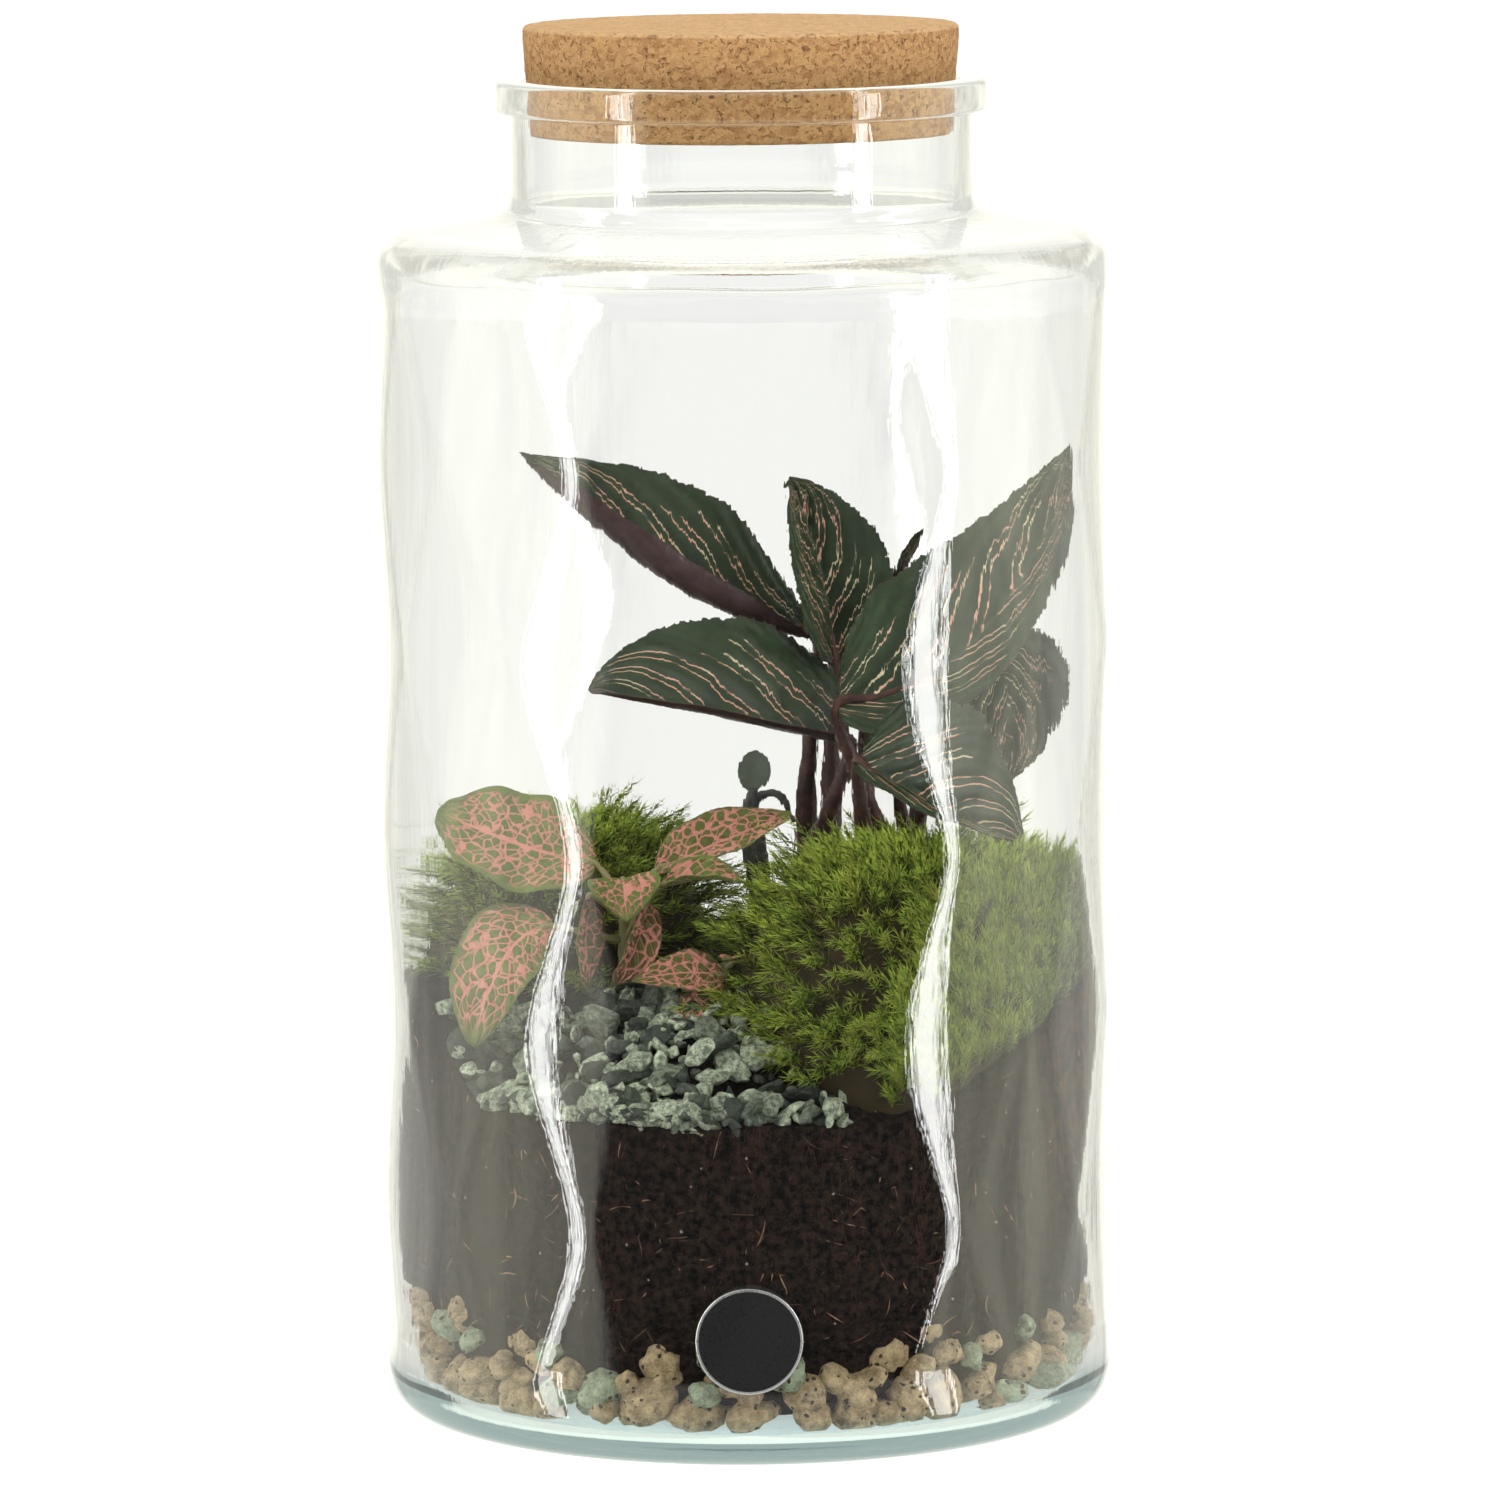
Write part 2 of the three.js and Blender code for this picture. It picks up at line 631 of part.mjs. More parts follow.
// Flat chips on a low heap. A chip that would cross a plant is left out.
function gravelHeap(space, cutter, moss, plants) {
  const random = seededRandom(19);
  const { x, y, length, width, rise, chips, smallest, largest, clearOfWall } = GRAVEL;
  const turn = THREE.MathUtils.degToRad(GRAVEL.turn);
  const [cos, sin] = [Math.cos(turn), Math.sin(turn)];
  const share = (dx, dy) => Math.hypot((cos * dx + sin * dy) / length, (cos * dy - sin * dx) / width);
  const heapTop = (px, py) => soilTop(px, py) + 0.5 + rise * Math.max(0, 1 - share(px - x, py - y) ** 2);
  const reach = (angle) => 0.75 / share(Math.sin(angle), -Math.cos(angle));
  const heap = moundSolid({ x, y, reach, shares: [0.5, 1], sides: 20, top: heapTop, bottomZ: SOIL.bottomZ });
  const parts = [heap];
  for (let i = 0; i < chips; i += 1) {
    const angle = i * GOLDEN_TURN;
    const radius = Math.sqrt((i + 0.5) / chips) / share(Math.sin(angle), -Math.cos(angle));
    const px = x + radius * Math.sin(angle);
    const py = y - radius * Math.cos(angle);
    const size = smallest + (largest - smallest) * random() * random();
    if (Math.hypot(px, py) > JAR.bodyRadius - JAR.wall - clearOfWall) {
      continue;
    }
    const chip = solid(stoneGeometry(size, 0.6, random).translate(px, py, heapTop(px, py) + 0.25 * size));
    if (plants.every((plant) => plant.minGap(chip, GAP) >= GAP)) {
      parts.push(chip);
    }
  }
  return union(parts).intersect(space).subtract(cutter).subtract(mossCore(moss, GAP));
}

// ---------------------------------------------------------------- moss

// A cushion's outline: an ellipse whose radius wavers a little round it.
function mossReach(moss, extra = 0) {
  return (angle) => {
    const ellipse = 1 / Math.hypot(Math.sin(angle) / moss.radiusX, Math.cos(angle) / moss.radiusY);
    return extra + ellipse * (1 + 0.04 * Math.sin(3 * angle + moss.seed) + 0.03 * Math.sin(7 * angle));
  };
}

function mossTop(moss, extra = 0) {
  const reach = mossReach(moss, extra);
  return (x, y) => {
    const angle = Math.atan2(x - moss.x, -(y - moss.y));
    const share = Math.min(1, Math.hypot(x - moss.x, y - moss.y) / reach(angle));
    return moss.foot + (moss.top + extra - moss.foot) * Math.sqrt(1 - share ** moss.fullness);
  };
}

// The cushion's body, or with an extra the room that it needs.
function mossCore(moss, extra = 0) {
  return moundSolid({
    x: moss.x,
    y: moss.y,
    reach: mossReach(moss, extra),
    shares: [0.4, 0.7, 0.88, 0.97, 1],
    sides: 24,
    top: mossTop(moss, extra),
    bottomZ: moss.foot - 20,
  });
}

// A three-sided needle from below the cushion's surface to its tip.
function needle(root, direction, length, width) {
  const across = new THREE.Vector3(0, 0, 1).cross(direction).normalize();
  const up = direction.clone().cross(across);
  const corners = [0, 1, 2].map((k) => {
    const angle = (2 * Math.PI * k) / 3;
    return root
      .clone()
      .addScaledVector(across, width * Math.cos(angle))
      .addScaledVector(up, width * Math.sin(angle));
  });
  const tip = root.clone().addScaledVector(direction, length);
  const geometry = new THREE.BufferGeometry().setFromPoints([...corners, tip]);
  geometry.setIndex([0, 2, 1, 0, 1, 3, 1, 2, 3, 2, 0, 3]);
  return solid(geometry);
}

// Needles stand out of the core over its whole surface, on a spiral of seeds. One that would cross
// another piece or the glass is left out.
function mossCushion(moss, space, cutter, wells, neighbours) {
  const random = seededRandom(moss.seed);
  const reach = mossReach(moss);
  const top = mossTop(moss);
  const inside = JAR.bodyRadius - JAR.wall - GAP - 0.3;
  const core = mossCore(moss).intersect(space).subtract(cutter).subtract(wells);
  const needles = [];
  for (let i = 0; i < moss.needles; i += 1) {
    const angle = i * GOLDEN_TURN;
    const radius = 0.97 * Math.sqrt((i + 0.5) / moss.needles) * reach(angle);
    const x = moss.x + radius * Math.sin(angle);
    const y = moss.y - radius * Math.cos(angle);
    const step = 1.5;
    const direction = new THREE.Vector3(
      (top(x - step, y) - top(x + step, y)) / (2 * step),
      (top(x, y - step) - top(x, y + step)) / (2 * step),
      1,
    ).normalize();
    direction.x += 0.5 * (random() - 0.5);
    direction.y += 0.5 * (random() - 0.5);
    direction.z += 0.35;
    direction.normalize();
    const root = new THREE.Vector3(x, y, top(x, y)).addScaledVector(direction, -NEEDLE.sunk);
    const length = NEEDLE.length * (0.8 + 0.4 * random());
    const tip = root.clone().addScaledVector(direction, length);
    const widest = Math.max(Math.hypot(x, y) + NEEDLE.width, Math.hypot(tip.x, tip.y));
    if (widest > inside || tip.z < soilTop(tip.x, tip.y) + 2 || root.z < soilTop(x, y) + 2) {
      continue;
    }
    const body = needle(root, direction, length, NEEDLE.width);
    if (neighbours.every((neighbour) => neighbour.minGap(body, GAP) >= GAP)) {
      needles.push(body);
    }
  }
  return union([core, ...needles]);
}

// ---------------------------------------------------------------- leaves

const vector = (list) => new THREE.Vector3(...list);

// The half-width along a blade: a sine drawn towards its widest place, never quite nothing.
function bladeWidth(leaf, t) {
  const power = Math.log(0.5) / Math.log(leaf.widest);
  const swell = Math.sin(Math.PI * Math.min(1, t) ** power);
  return Math.max(0.55, leaf.halfWidth * Math.max(0, swell) ** (leaf.fullness ?? 0.8));
}

// A point of the blade: t runs from its base to its tip and v from its left margin to its right.
// Each half leaves the midrib at its fold angle and goes on turning by its curl, along an arc.
function bladePoint(leaf, t, v) {
  const midrib = new THREE.QuadraticBezierCurve3(vector(leaf.base), vector(leaf.bend), vector(leaf.tip));
  const along = midrib.getTangent(t);
  const side = vector(leaf.side);
  side.addScaledVector(along, -side.dot(along)).normalize();
  const normal = side.clone().cross(along);
  const width = bladeWidth(leaf, t);
  const openness = Math.min(1, width / 4);
  const half = v < 0 ? 0 : 1;
  const fold = openness * leaf.fold[half];
  const curl = openness * leaf.curl[half];
  const share = leaf.share ? leaf.share[half] : 1;
  const run = Math.abs(v);
  const turn = fold + curl * run;
  const bent = Math.abs(curl) > 1e-3;
  const lateral = bent ? (Math.sin(turn) - Math.sin(fold)) / curl : run * Math.cos(fold);
  const lift = bent ? (Math.cos(fold) - Math.cos(turn)) / curl : run * Math.sin(fold);
  const ripple = Math.sin(2 * Math.PI * WAVES * t + 2 * Math.sign(v));
  const waves = (leaf.wave ?? 0.05) * v * v * ripple;
  return midrib
    .getPoint(t)
    .addScaledVector(side, Math.sign(v) * share * width * lateral)
    .addScaledVector(normal, share * width * (lift + openness * waves));
}

function bladeSolid(leaf, rows, columns) {
  const front = [];
  const back = [];
  const step = 0.01;
  for (let r = 0; r <= rows; r += 1) {
    const t = r / rows;
    const frontRow = [];
    const backRow = [];
    for (let c = 0; c <= columns; c += 1) {
      const v = (2 * c) / columns - 1;
      const point = bladePoint(leaf, t, v);
      const early = bladePoint(leaf, Math.max(0, t - step), v);
      const late = bladePoint(leaf, Math.min(1, t + step), v);
      const left = bladePoint(leaf, t, Math.max(-1, v - step));
      const right = bladePoint(leaf, t, Math.min(1, v + step));
      const normal = right.sub(left).cross(late.sub(early)).normalize();
      frontRow.push(point.clone().addScaledVector(normal, BLADE_THICKNESS / 2));
      backRow.push(point.clone().addScaledVector(normal, -BLADE_THICKNESS / 2));
    }
    front.push(frontRow);
    back.push(backRow);
  }
  return closedSheet(front, back);
}

// Points along the midrib's underside, so that the rod that carries the blade sinks into it.
function midribPoints(leaf, places, depth) {
  const midrib = new THREE.QuadraticBezierCurve3(vector(leaf.base), vector(leaf.bend), vector(leaf.tip));
  return places.map((t) => {
    const along = midrib.getTangent(t);
    const side = vector(leaf.side);
    side.addScaledVector(along, -side.dot(along)).normalize();
    const normal = side.clone().cross(along);
    return midrib.getPoint(t).addScaledVector(normal, -depth);
  });
}

// A striped leaf on its own petiole: a thick sheath at the soil that thins up to the blade. The well is
// the room that the petiole needs.
function calatheaLeaf(leaf) {
  const [x, y] = leaf.root;
  const soilZ = soilTop(x, y);
  const base = vector(leaf.base);
  const reach = base.z - soilZ;
  const collar = new THREE.Vector3(x, y, soilZ + 1);
  const path = new THREE.CubicBezierCurve3(
    collar,
    new THREE.Vector3(x, y, soilZ + 0.35 * reach),
    new THREE.Vector3(x, y, base.z).lerp(base, 0.85).setZ(base.z - 0.3 * reach),
    base,
  );
  const foot = new THREE.Vector3(x, y, soilZ - SOIL.stemDepth);
  const points = [foot, ...path.getPoints(4), ...midribPoints(leaf, [0.12, 0.3], 0.3)];
  const radii = [2.5, 2.6, 2.5, 2.2, 1.8, 1.4, 1, 0.5];
  const well = rod(points, radii.map((radius) => radius + GAP + 0.1), 5);
  return { body: bladeSolid(leaf, 7, 6).add(rod(points, radii, 5)), well };
}

// A leafy stem of the net-veined plant, with its leaves fused on by short stalks.
function leafyStem({ root, path, leaves }) {
  const [x, y] = root;
  const foot = new THREE.Vector3(x, y, soilTop(x, y) - SOIL.stemDepth);
  const collar = new THREE.Vector3(x, y, soilTop(x, y) + 1);
  const stem = rod([foot, collar, ...path.map(vector)], [1.4, 1.4, 1.3, 1.1], 6);
  const parts = leaves.map((leaf) => {
    const rib = midribPoints(leaf, [0.15, 0.4], 0.25);
    const stalk = rod([vector(leaf.from), vector(leaf.base), ...rib], [0.8, 0.7, 0.55, 0.35], 5);
    return bladeSolid(leaf, 5, leaf.columns ?? 4).add(stalk);
  });
  return union([stem, ...parts]);
}

function youngShoot() {
  const [x, y] = SHOOT.root;
  const foot = new THREE.Vector3(x, y, soilTop(x, y) - SOIL.stemDepth);
  const collar = new THREE.Vector3(x, y, soilTop(x, y) + 1);
  const stalk = rod([foot, collar, ...SHOOT.stalk.map(vector)], SHOOT.stalkRadii, 7);
  const arch = rod(SHOOT.arch.map(vector), [1.1, 0.9, 0.9, 0.6], 5);
  return union([stalk, arch, bladeSolid(SHOOT.leaf, 5, 4)]);
}

// A plain hole in the soil for a stem, a gap wider and deeper than the stem.
function stemHole([x, y], radius) {
  const height = SOIL.stemDepth + GAP + 10;
  const hole = new THREE.CylinderGeometry(radius + GAP + 0.4, radius + GAP + 0.4, height, 7);
  hole.rotateX(Math.PI / 2);
  hole.translate(x, y, soilTop(x, y) - SOIL.stemDepth - GAP + height / 2);
  return solid(hole);
}

// ---------------------------------------------------------------- assembly

const space = fillingSpace();
const cutter = soilCutter();
const calathea = CALATHEA.map((leaf) => calatheaLeaf(leaf));
const fittoniaLeft = leafyStem(FITTONIA_LEFT);
const fittoniaRight = leafyStem(FITTONIA_RIGHT);
const shoot = youngShoot();
const wells = union(calathea.map((leaf) => leaf.well));
const holes = union([
  ...CALATHEA.map((leaf) => stemHole(leaf.root, 2.6)),
  stemHole(FITTONIA_LEFT.root, 1.4),
  stemHole(FITTONIA_RIGHT.root, 1.4),
  stemHole(SHOOT.root, 2.4),
]);
const plants = [...calathea.map((leaf) => leaf.body), fittoniaLeft, fittoniaRight, shoot];
const gravel = gravelHeap(space, cutter, MOSS_RIGHT, plants);
const mossRight = mossCushion(MOSS_RIGHT, space, cutter, wells, [...plants, gravel]);
const mossLeft = mossCushion(MOSS_LEFT, space, cutter, wells, [...plants, gravel]);

addPiece('glass_jar', solid(jarGeometry()), surfaceMaterial(0xdfe9e6, 0.03));
addPiece('cork_stopper', solid(corkGeometry()), surfaceMaterial(0xc79a63, 0.85));
addPiece('label_disc', labelSolid(), surfaceMaterial(0x191919, 0.35));
addPiece('drainage_granules', granuleBed(), surfaceMaterial(0xb2a482, 0.95));
addPiece('potting_soil', soilBody().subtract(holes), surfaceMaterial(0x2a211c, 1));
addPiece('gravel_chips', gravel, surfaceMaterial(0x7d8f89, 0.8));
addPiece('moss_cushion_right', mossRight, surfaceMaterial(0x55762a, 0.9));
addPiece('moss_cushion_left', mossLeft, surfaceMaterial(0x5d7a30, 0.9));
calathea.forEach((leaf, i) => {
  addPiece(`calathea_leaf_${i + 1}`, leaf.body, surfaceMaterial(0x26352a, 0.55));
});
addPiece('fittonia_shoot_left', fittoniaLeft, surfaceMaterial(0x8a8f5a, 0.6));
addPiece('fittonia_shoot_right', fittoniaRight, surfaceMaterial(0xa8685a, 0.6));
addPiece('young_shoot', shoot, surfaceMaterial(0x3b3a3c, 0.7));

export default group;
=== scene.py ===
import math

import bpy
import numpy as np
from bpy.props import FloatProperty, FloatVectorProperty, IntProperty, PointerProperty
from mathutils import Matrix, Vector


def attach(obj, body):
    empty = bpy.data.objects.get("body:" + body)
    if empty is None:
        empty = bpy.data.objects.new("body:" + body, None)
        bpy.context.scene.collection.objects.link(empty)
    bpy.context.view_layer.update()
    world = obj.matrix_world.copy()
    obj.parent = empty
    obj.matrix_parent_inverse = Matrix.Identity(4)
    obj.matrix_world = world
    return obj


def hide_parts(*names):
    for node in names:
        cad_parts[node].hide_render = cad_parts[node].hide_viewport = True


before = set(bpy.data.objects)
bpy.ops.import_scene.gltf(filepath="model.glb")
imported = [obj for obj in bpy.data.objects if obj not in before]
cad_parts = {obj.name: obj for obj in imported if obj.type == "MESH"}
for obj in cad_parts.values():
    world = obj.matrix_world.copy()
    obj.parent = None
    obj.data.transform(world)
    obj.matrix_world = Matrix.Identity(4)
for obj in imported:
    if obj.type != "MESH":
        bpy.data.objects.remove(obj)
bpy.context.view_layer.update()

bl_info = {
    "name": "Corked Glass Terrarium",
    "version": (1, 0, 0),
    "blender": (4, 5, 0),
    "location": "3D View > Sidebar > Terrarium",
    "description": "Builds a planted glass jar: glass, cork, granules, soil, gravel, moss and leafy plants",
    "category": "Add Mesh",
}

# ---------------------------------------------------------------- sizes, in millimetres

MM = 0.001
RELIEF_SUNK = 0.4  # share of the lozenges' depth
GAP = 0.3  # between the glass and what stands against it
NEAR = 0.01
GOLDEN_TURN = math.pi * (3 - math.sqrt(5))

BODY_RADIUS = 82.5
NECK_RADIUS = 52.3
RIM_RADIUS = 55.6
BORE_RADIUS = 49.0
JAR_HEIGHT = 302.9
RIM_HEIGHT = 7.3
SHOULDER_EDGE_Z = 267.6
SHOULDER_TOP_Z = 273.2
WALL = 3.5
BASE = 5.5
HEEL_FILLET = 11.0
FLOOR_FILLET = 7.5
SHOULDER_FILLET = 6.0
NECK_FILLET = 3.5
RIM_ROUND = 1.3
FLANGE_FILLET = 0.6
WALL_TOP = SHOULDER_EDGE_Z - SHOULDER_FILLET
INSIDE = BODY_RADIUS - WALL - GAP  # the reach of everything that fills the jar

SOIL_TOP = 100.5
SOIL_BOTTOM = 25.8
SOIL_FALL = 24.5  # how much lower the soil is at the front wall
SOIL_FALL_START = 34.0
SOIL_FALL_LEFT = (-65.0, -47.0)  # degrees from the front
SOIL_FALL_RIGHT = (22.0, 78.0)
STEM_DEPTH = 9.0
SKIRT = 14.0  # how far a moss cushion's core reaches below its foot

CORK = {"top": 49.3, "seat": 48.6, "bottom": 47.7, "top_z": 315.1, "bottom_z": 290.6, "edge": 1.4}
LABEL = {"radius": 12.0, "thickness": 0.4, "centre_z": 29.5}
# Rings of granules against the wall: height, share of places taken, and how far in from the wall. The bed
# of soil between them reaches out to bed_foot on the floor and to bed_side further up.
GRANULES = {
    "per_ring": 41,
    "rings": (
        (10.0, 1.0, 0.0), (10.0, 1.0, 9.5), (15.0, 1.0, 0.0),
        (19.5, 0.9, 0.2), (24.0, 0.6, 0.3), (28.5, 0.22, 0.2),
    ),
    "bed_foot": 56.0,
    "bed_side": 72.5,
}
GRAVEL = {"x": -23.0, "y": -58.0, "length": 48.0, "width": 21.0, "turn": -22.0, "rise": 4.0}

# Moss cushions. fullness: the power of the distance from the middle by which the top rounds off.
MOSS = {
    "moss_cushion_right": dict(
        x=41.0, y=-34.0, radius_x=45.0, radius_y=38.0, foot=82.0, top=129.0, fullness=3.4, seed=31
    ),
    "moss_cushion_left": dict(
        x=-41.0, y=8.0, radius_x=35.0, radius_y=34.0, foot=84.0, top=129.0, fullness=4.0, seed=47
    ),
}

# Striped leaves. root: where the petiole enters the soil. base, bend, tip: the midrib. side: across the
# blade, to its right half. share, fold and curl: of the left and the right half.
CALATHEA = [
    dict(root=(13, 22), base=(16, 16, 174), bend=(-20, 12, 184), tip=(-50.5, 8, 218),
         side=(0.5, 0.55, 0.86), half_width=25, widest=0.5, share=(0.58, 1),
         fold=(0.45, 0.05), curl=(2.6, -0.3)),
    dict(root=(9, 12), base=(24, 7.5, 151), bend=(-4, -16, 162), tip=(-35, -30, 168),
         side=(0.1, 0.47, 0.9), half_width=25, widest=0.38, share=(0.5, 1), fullness=0.5,
         fold=(0.8, 0.05), curl=(0.9, -0.3)),
    dict(root=(19, 17), base=(20.5, 14, 168), bend=(19, 15, 190), tip=(10.5, 20, 211),
         side=(0.96, -0.15, 0.2), half_width=17, widest=0.42, fullness=0.6,
         fold=(1.25, 0.1), curl=(0.2, -0.2)),
    dict(root=(27, 25), base=(28, 20, 166), bend=(33, 21, 182), tip=(41.5, 24, 198.5),
         side=(0.9, -0.3, -0.3), half_width=5, widest=0.5, fold=(1, 1), curl=(0.6, 0.6)),
    dict(root=(37, 1), base=(21, -12, 162), bend=(60, -17, 167), tip=(74.5, -10, 221),
         side=(0.62, -0.45, -0.65), half_width=26, widest=0.36, share=(1, 0.55), fullness=0.55,
         fold=(0.05, 0.25), curl=(-0.2, 0.3)),
    dict(root=(35, 18), base=(47, 4, 171), bend=(66, -1, 174), tip=(58, -9, 143),
         side=(-1, 0.2, 0), half_width=14.5, widest=0.48, fullness=0.6, fold=(0.1, 0.1), curl=(-0.1, 0.1)),
    dict(root=(29, -5), base=(25, -18, 150), bend=(39, -30, 143), tip=(60.5, -42, 134.5),
         side=(-0.3, -0.9, -0.3), half_width=25, widest=0.46, share=(1, 0.35), fullness=0.5,
         fold=(1.35, 0.1), curl=(-0.15, 0.2)),
    dict(root=(42, 8), base=(34.5, -3, 140), bend=(33, -6, 151), tip=(31, -8, 162),
         side=(-0.95, 0.1, 0), half_width=14, widest=0.5, share=(1, 0.65), fold=(0.3, 0.3), curl=(0.4, 0.4)),
]
PETIOLE_RADII = (2.5, 2.6, 2.5, 2.2, 1.8, 1.4, 1.0, 0.5)

# Net-veined leafy stems. start: where a leaf's stalk leaves the stem. blush: how red and dense its net is.
FITTONIA = {
    "fittonia_shoot_left": dict(
        root=(-27, -36),
        path=((-27.5, -35.5, 110), (-28, -35, 124)),
        leaves=[
            dict(start=(-28, -35, 122), base=(-34, -32, 129), bend=(-50, -33, 132), tip=(-68.5, -30, 141),
                 side=(0.25, 0.7, 0.7), half_width=13, widest=0.5, fullness=0.5,
                 fold=(0.2, 0.2), curl=(-0.2, 0.1), wave=0.1, blush=0.35),
            dict(start=(-27.6, -35.5, 112), base=(-42.5, -42, 116.5), bend=(-55, -45, 116.5),
                 tip=(-60, -47, 90), side=(-0.75, 0.58, 0.5), half_width=13.5, widest=0.48,
                 share=(0.6, 1), fullness=0.6, fold=(0.1, 0.1), curl=(-0.4, -0.4), blush=0.45),
            dict(start=(-28, -35.3, 120), base=(-27.5, -37.5, 126), bend=(-27, -43, 126.5),
                 tip=(-26.6, -47, 118), side=(-1, -0.1, -0.1), half_width=8.5, widest=0.4,
                 fold=(0.2, 0.2), curl=(0.1, 0.1), blush=0.3),
            dict(start=(-27.8, -35.2, 118), base=(-20.5, -31, 127), bend=(-6, -27, 133),
                 tip=(10.5, -20, 138.5), side=(0.2, -0.75, -0.6), half_width=9.5, widest=0.45,
                 fold=(0.1, 0.4), curl=(0, 0.3), blush=0.7),
            dict(start=(-27.8, -35.5, 116), base=(-19.5, -38, 124.5), bend=(-10, -40, 128.5),
                 tip=(-0.5, -42, 126), side=(0, -0.95, -0.2), half_width=6, widest=0.45,
                 fold=(0.5, 0.3), curl=(0.3, 0.3), blush=0.25),
            dict(start=(-27.9, -35.4, 117), base=(-34.5, -39, 123), bend=(-36.5, -42, 115),
                 tip=(-35.5, -43, 102), side=(-0.5, -0.8, -0.1), half_width=5.5, widest=0.5,
                 fold=(0.2, 0.2), curl=(0.1, 0.1), blush=0.9),
            dict(start=(-27.6, -35.6, 112), base=(-22, -38, 122), bend=(-23, -42, 113),
                 tip=(-30, -44, 103), side=(-0.8, -0.5, 0.1), half_width=5.5, widest=0.5,
                 fold=(0.6, 0.6), curl=(0.2, 0.2), blush=1.0),
        ],
    ),
    "fittonia_shoot_right": dict(
        root=(-6, -36),
        path=((-5.5, -37, 104), (-4.5, -39, 107)),
        leaves=[
            dict(start=(-5.2, -37.6, 105), base=(-5, -43, 105), bend=(-13, -47, 107.5),
                 tip=(-25.5, -49, 105), side=(-0.1, 0.7, 0.6), half_width=6.5, widest=0.35,
                 fold=(0.2, 0.1), curl=(0, 0), blush=0.9),
            dict(start=(-5.4, -37.4, 104), base=(-5, -44, 101.5), bend=(-10, -49, 101),
                 tip=(-15.5, -52.5, 95.5), side=(-0.65, 0.42, 0.56), half_width=5, widest=0.45,
                 fold=(0.15, 0.15), curl=(0, 0), blush=1.0),
            dict(start=(-4.6, -38.8, 106), base=(-2.5, -42, 108.5), bend=(-2, -46, 109.5),
                 tip=(-5, -51, 110), side=(-1, -0.2, 0), half_width=3.5, widest=0.45,
                 fold=(0.3, 0.3), curl=(0, 0), blush=0.8),
        ],
    ),
}

SHOOT = {
    "root": (3.5, -2),
    "stalk": ((3.5, -2, 112), (2.5, -2, 124), (1, -2, 136), (1.8, -2, 142)),
    "stalk_radii": (2.4, 2.4, 2.6, 2.9, 2.2, 0.9),
    "arch": ((1.2, -2, 137), (4, -2.5, 140.5), (8, -3, 140), (11, -3.5, 134)),
    "arch_radii": (1.1, 0.9, 0.9, 0.6),
    "leaf": dict(base=(1.6, -2, 141), bend=(1.5, -2.5, 146), tip=(2.8, -2, 150.4), side=(0.95, -0.2, 0),
                 half_width=3.7, widest=0.5, fullness=0.5, fold=(0.1, 0.1), curl=(0.2, 0.2)),
}

CAMERA = {
    "place": (0.0, -2071.8, 416.9),
    "pitch": 0.128,  # down, in radians
    "yaw": 0.0005,
    "roll": -0.0066,
    "focal_px": 9188.8,
    "frame_px": 1500,
}

# Lamps, in metres and degrees from the front. Each strip lamp has three parts: how far each is turned from
# the lamp's middle, its width and its share of the brightness.
LAMP_ANGLES = {"left": -59.0, "right": 61.0}
STRIP = {"distance": 0.7, "height": 0.17, "length": 0.56}
STRIP_PARTS = ((0.0, 0.062, 0.85), (-4.0, 0.009, 1.2), (3.9, 0.011, 1.2))
KEY = {"distance": 1.1, "height": 0.75, "target": 0.12, "width": 0.8}
OVERHEAD = {"place": (0.05, -0.1, 1.1), "target": 0.15, "width": 0.9, "share": 1.4}
FLOOR = {"reach": 7000.0, "level": -0.4}  # in millimetres

# Thresholds for a ray's count of bounces, which is a whole number.
ONE_BOUNCE = 0.5
TWO_BOUNCES = 1.5

# ---------------------------------------------------------------- settings


def a_length(name, description, default):
    return FloatProperty(name=name, description=description, default=default, min=0.0, unit="LENGTH")


def a_level(name, description, default):
    return FloatProperty(name=name, description=description, default=default, min=0.0)


def a_count(name, description, default, least):
    return IntProperty(name=name, description=description, default=default, min=least)


def a_colour(name, description, default):
    return FloatVectorProperty(
        name=name, description=description, default=default, size=3, min=0.0, max=1.0, subtype="COLOR"
    )


class JarSettings(bpy.types.PropertyGroup):
    """The glass, its stopper and its label."""

    relief_depth: a_length("Relief depth", "Height of the lozenges on the body", 0.62 * MM)
    relief_row: a_length("Lozenge height", "Height of one lozenge", 83.6 * MM)
    relief_columns: a_count("Lozenges round", "Lozenges round the body", 12, 3)
    tint: a_colour("Glass", "Colour of the thin glass", (0.985, 0.99, 0.985))
    base_tint: a_colour("Base glass", "Colour seen in the thick base", (0.70, 0.83, 0.84))
    # Both glows are painted light: the glass emits them where a ray has bounced twice inside it.
    base_glow: a_colour("Base glow", "Light that has gone to and fro in the thick base", (0.34, 0.43, 0.41))
    wall_glow: a_colour("Wall glow", "Light that has gone to and fro in the wall", (0.70, 0.71, 0.66))
    cork_light: a_colour("Light cork", "Paler grains of the cork", (0.64, 0.38, 0.165))
    cork_dark: a_colour("Dark cork", "Darker grains of the cork", (0.47, 0.25, 0.10))
    label_colour: a_colour("Label", "Face of the round label", (0.012, 0.012, 0.012))


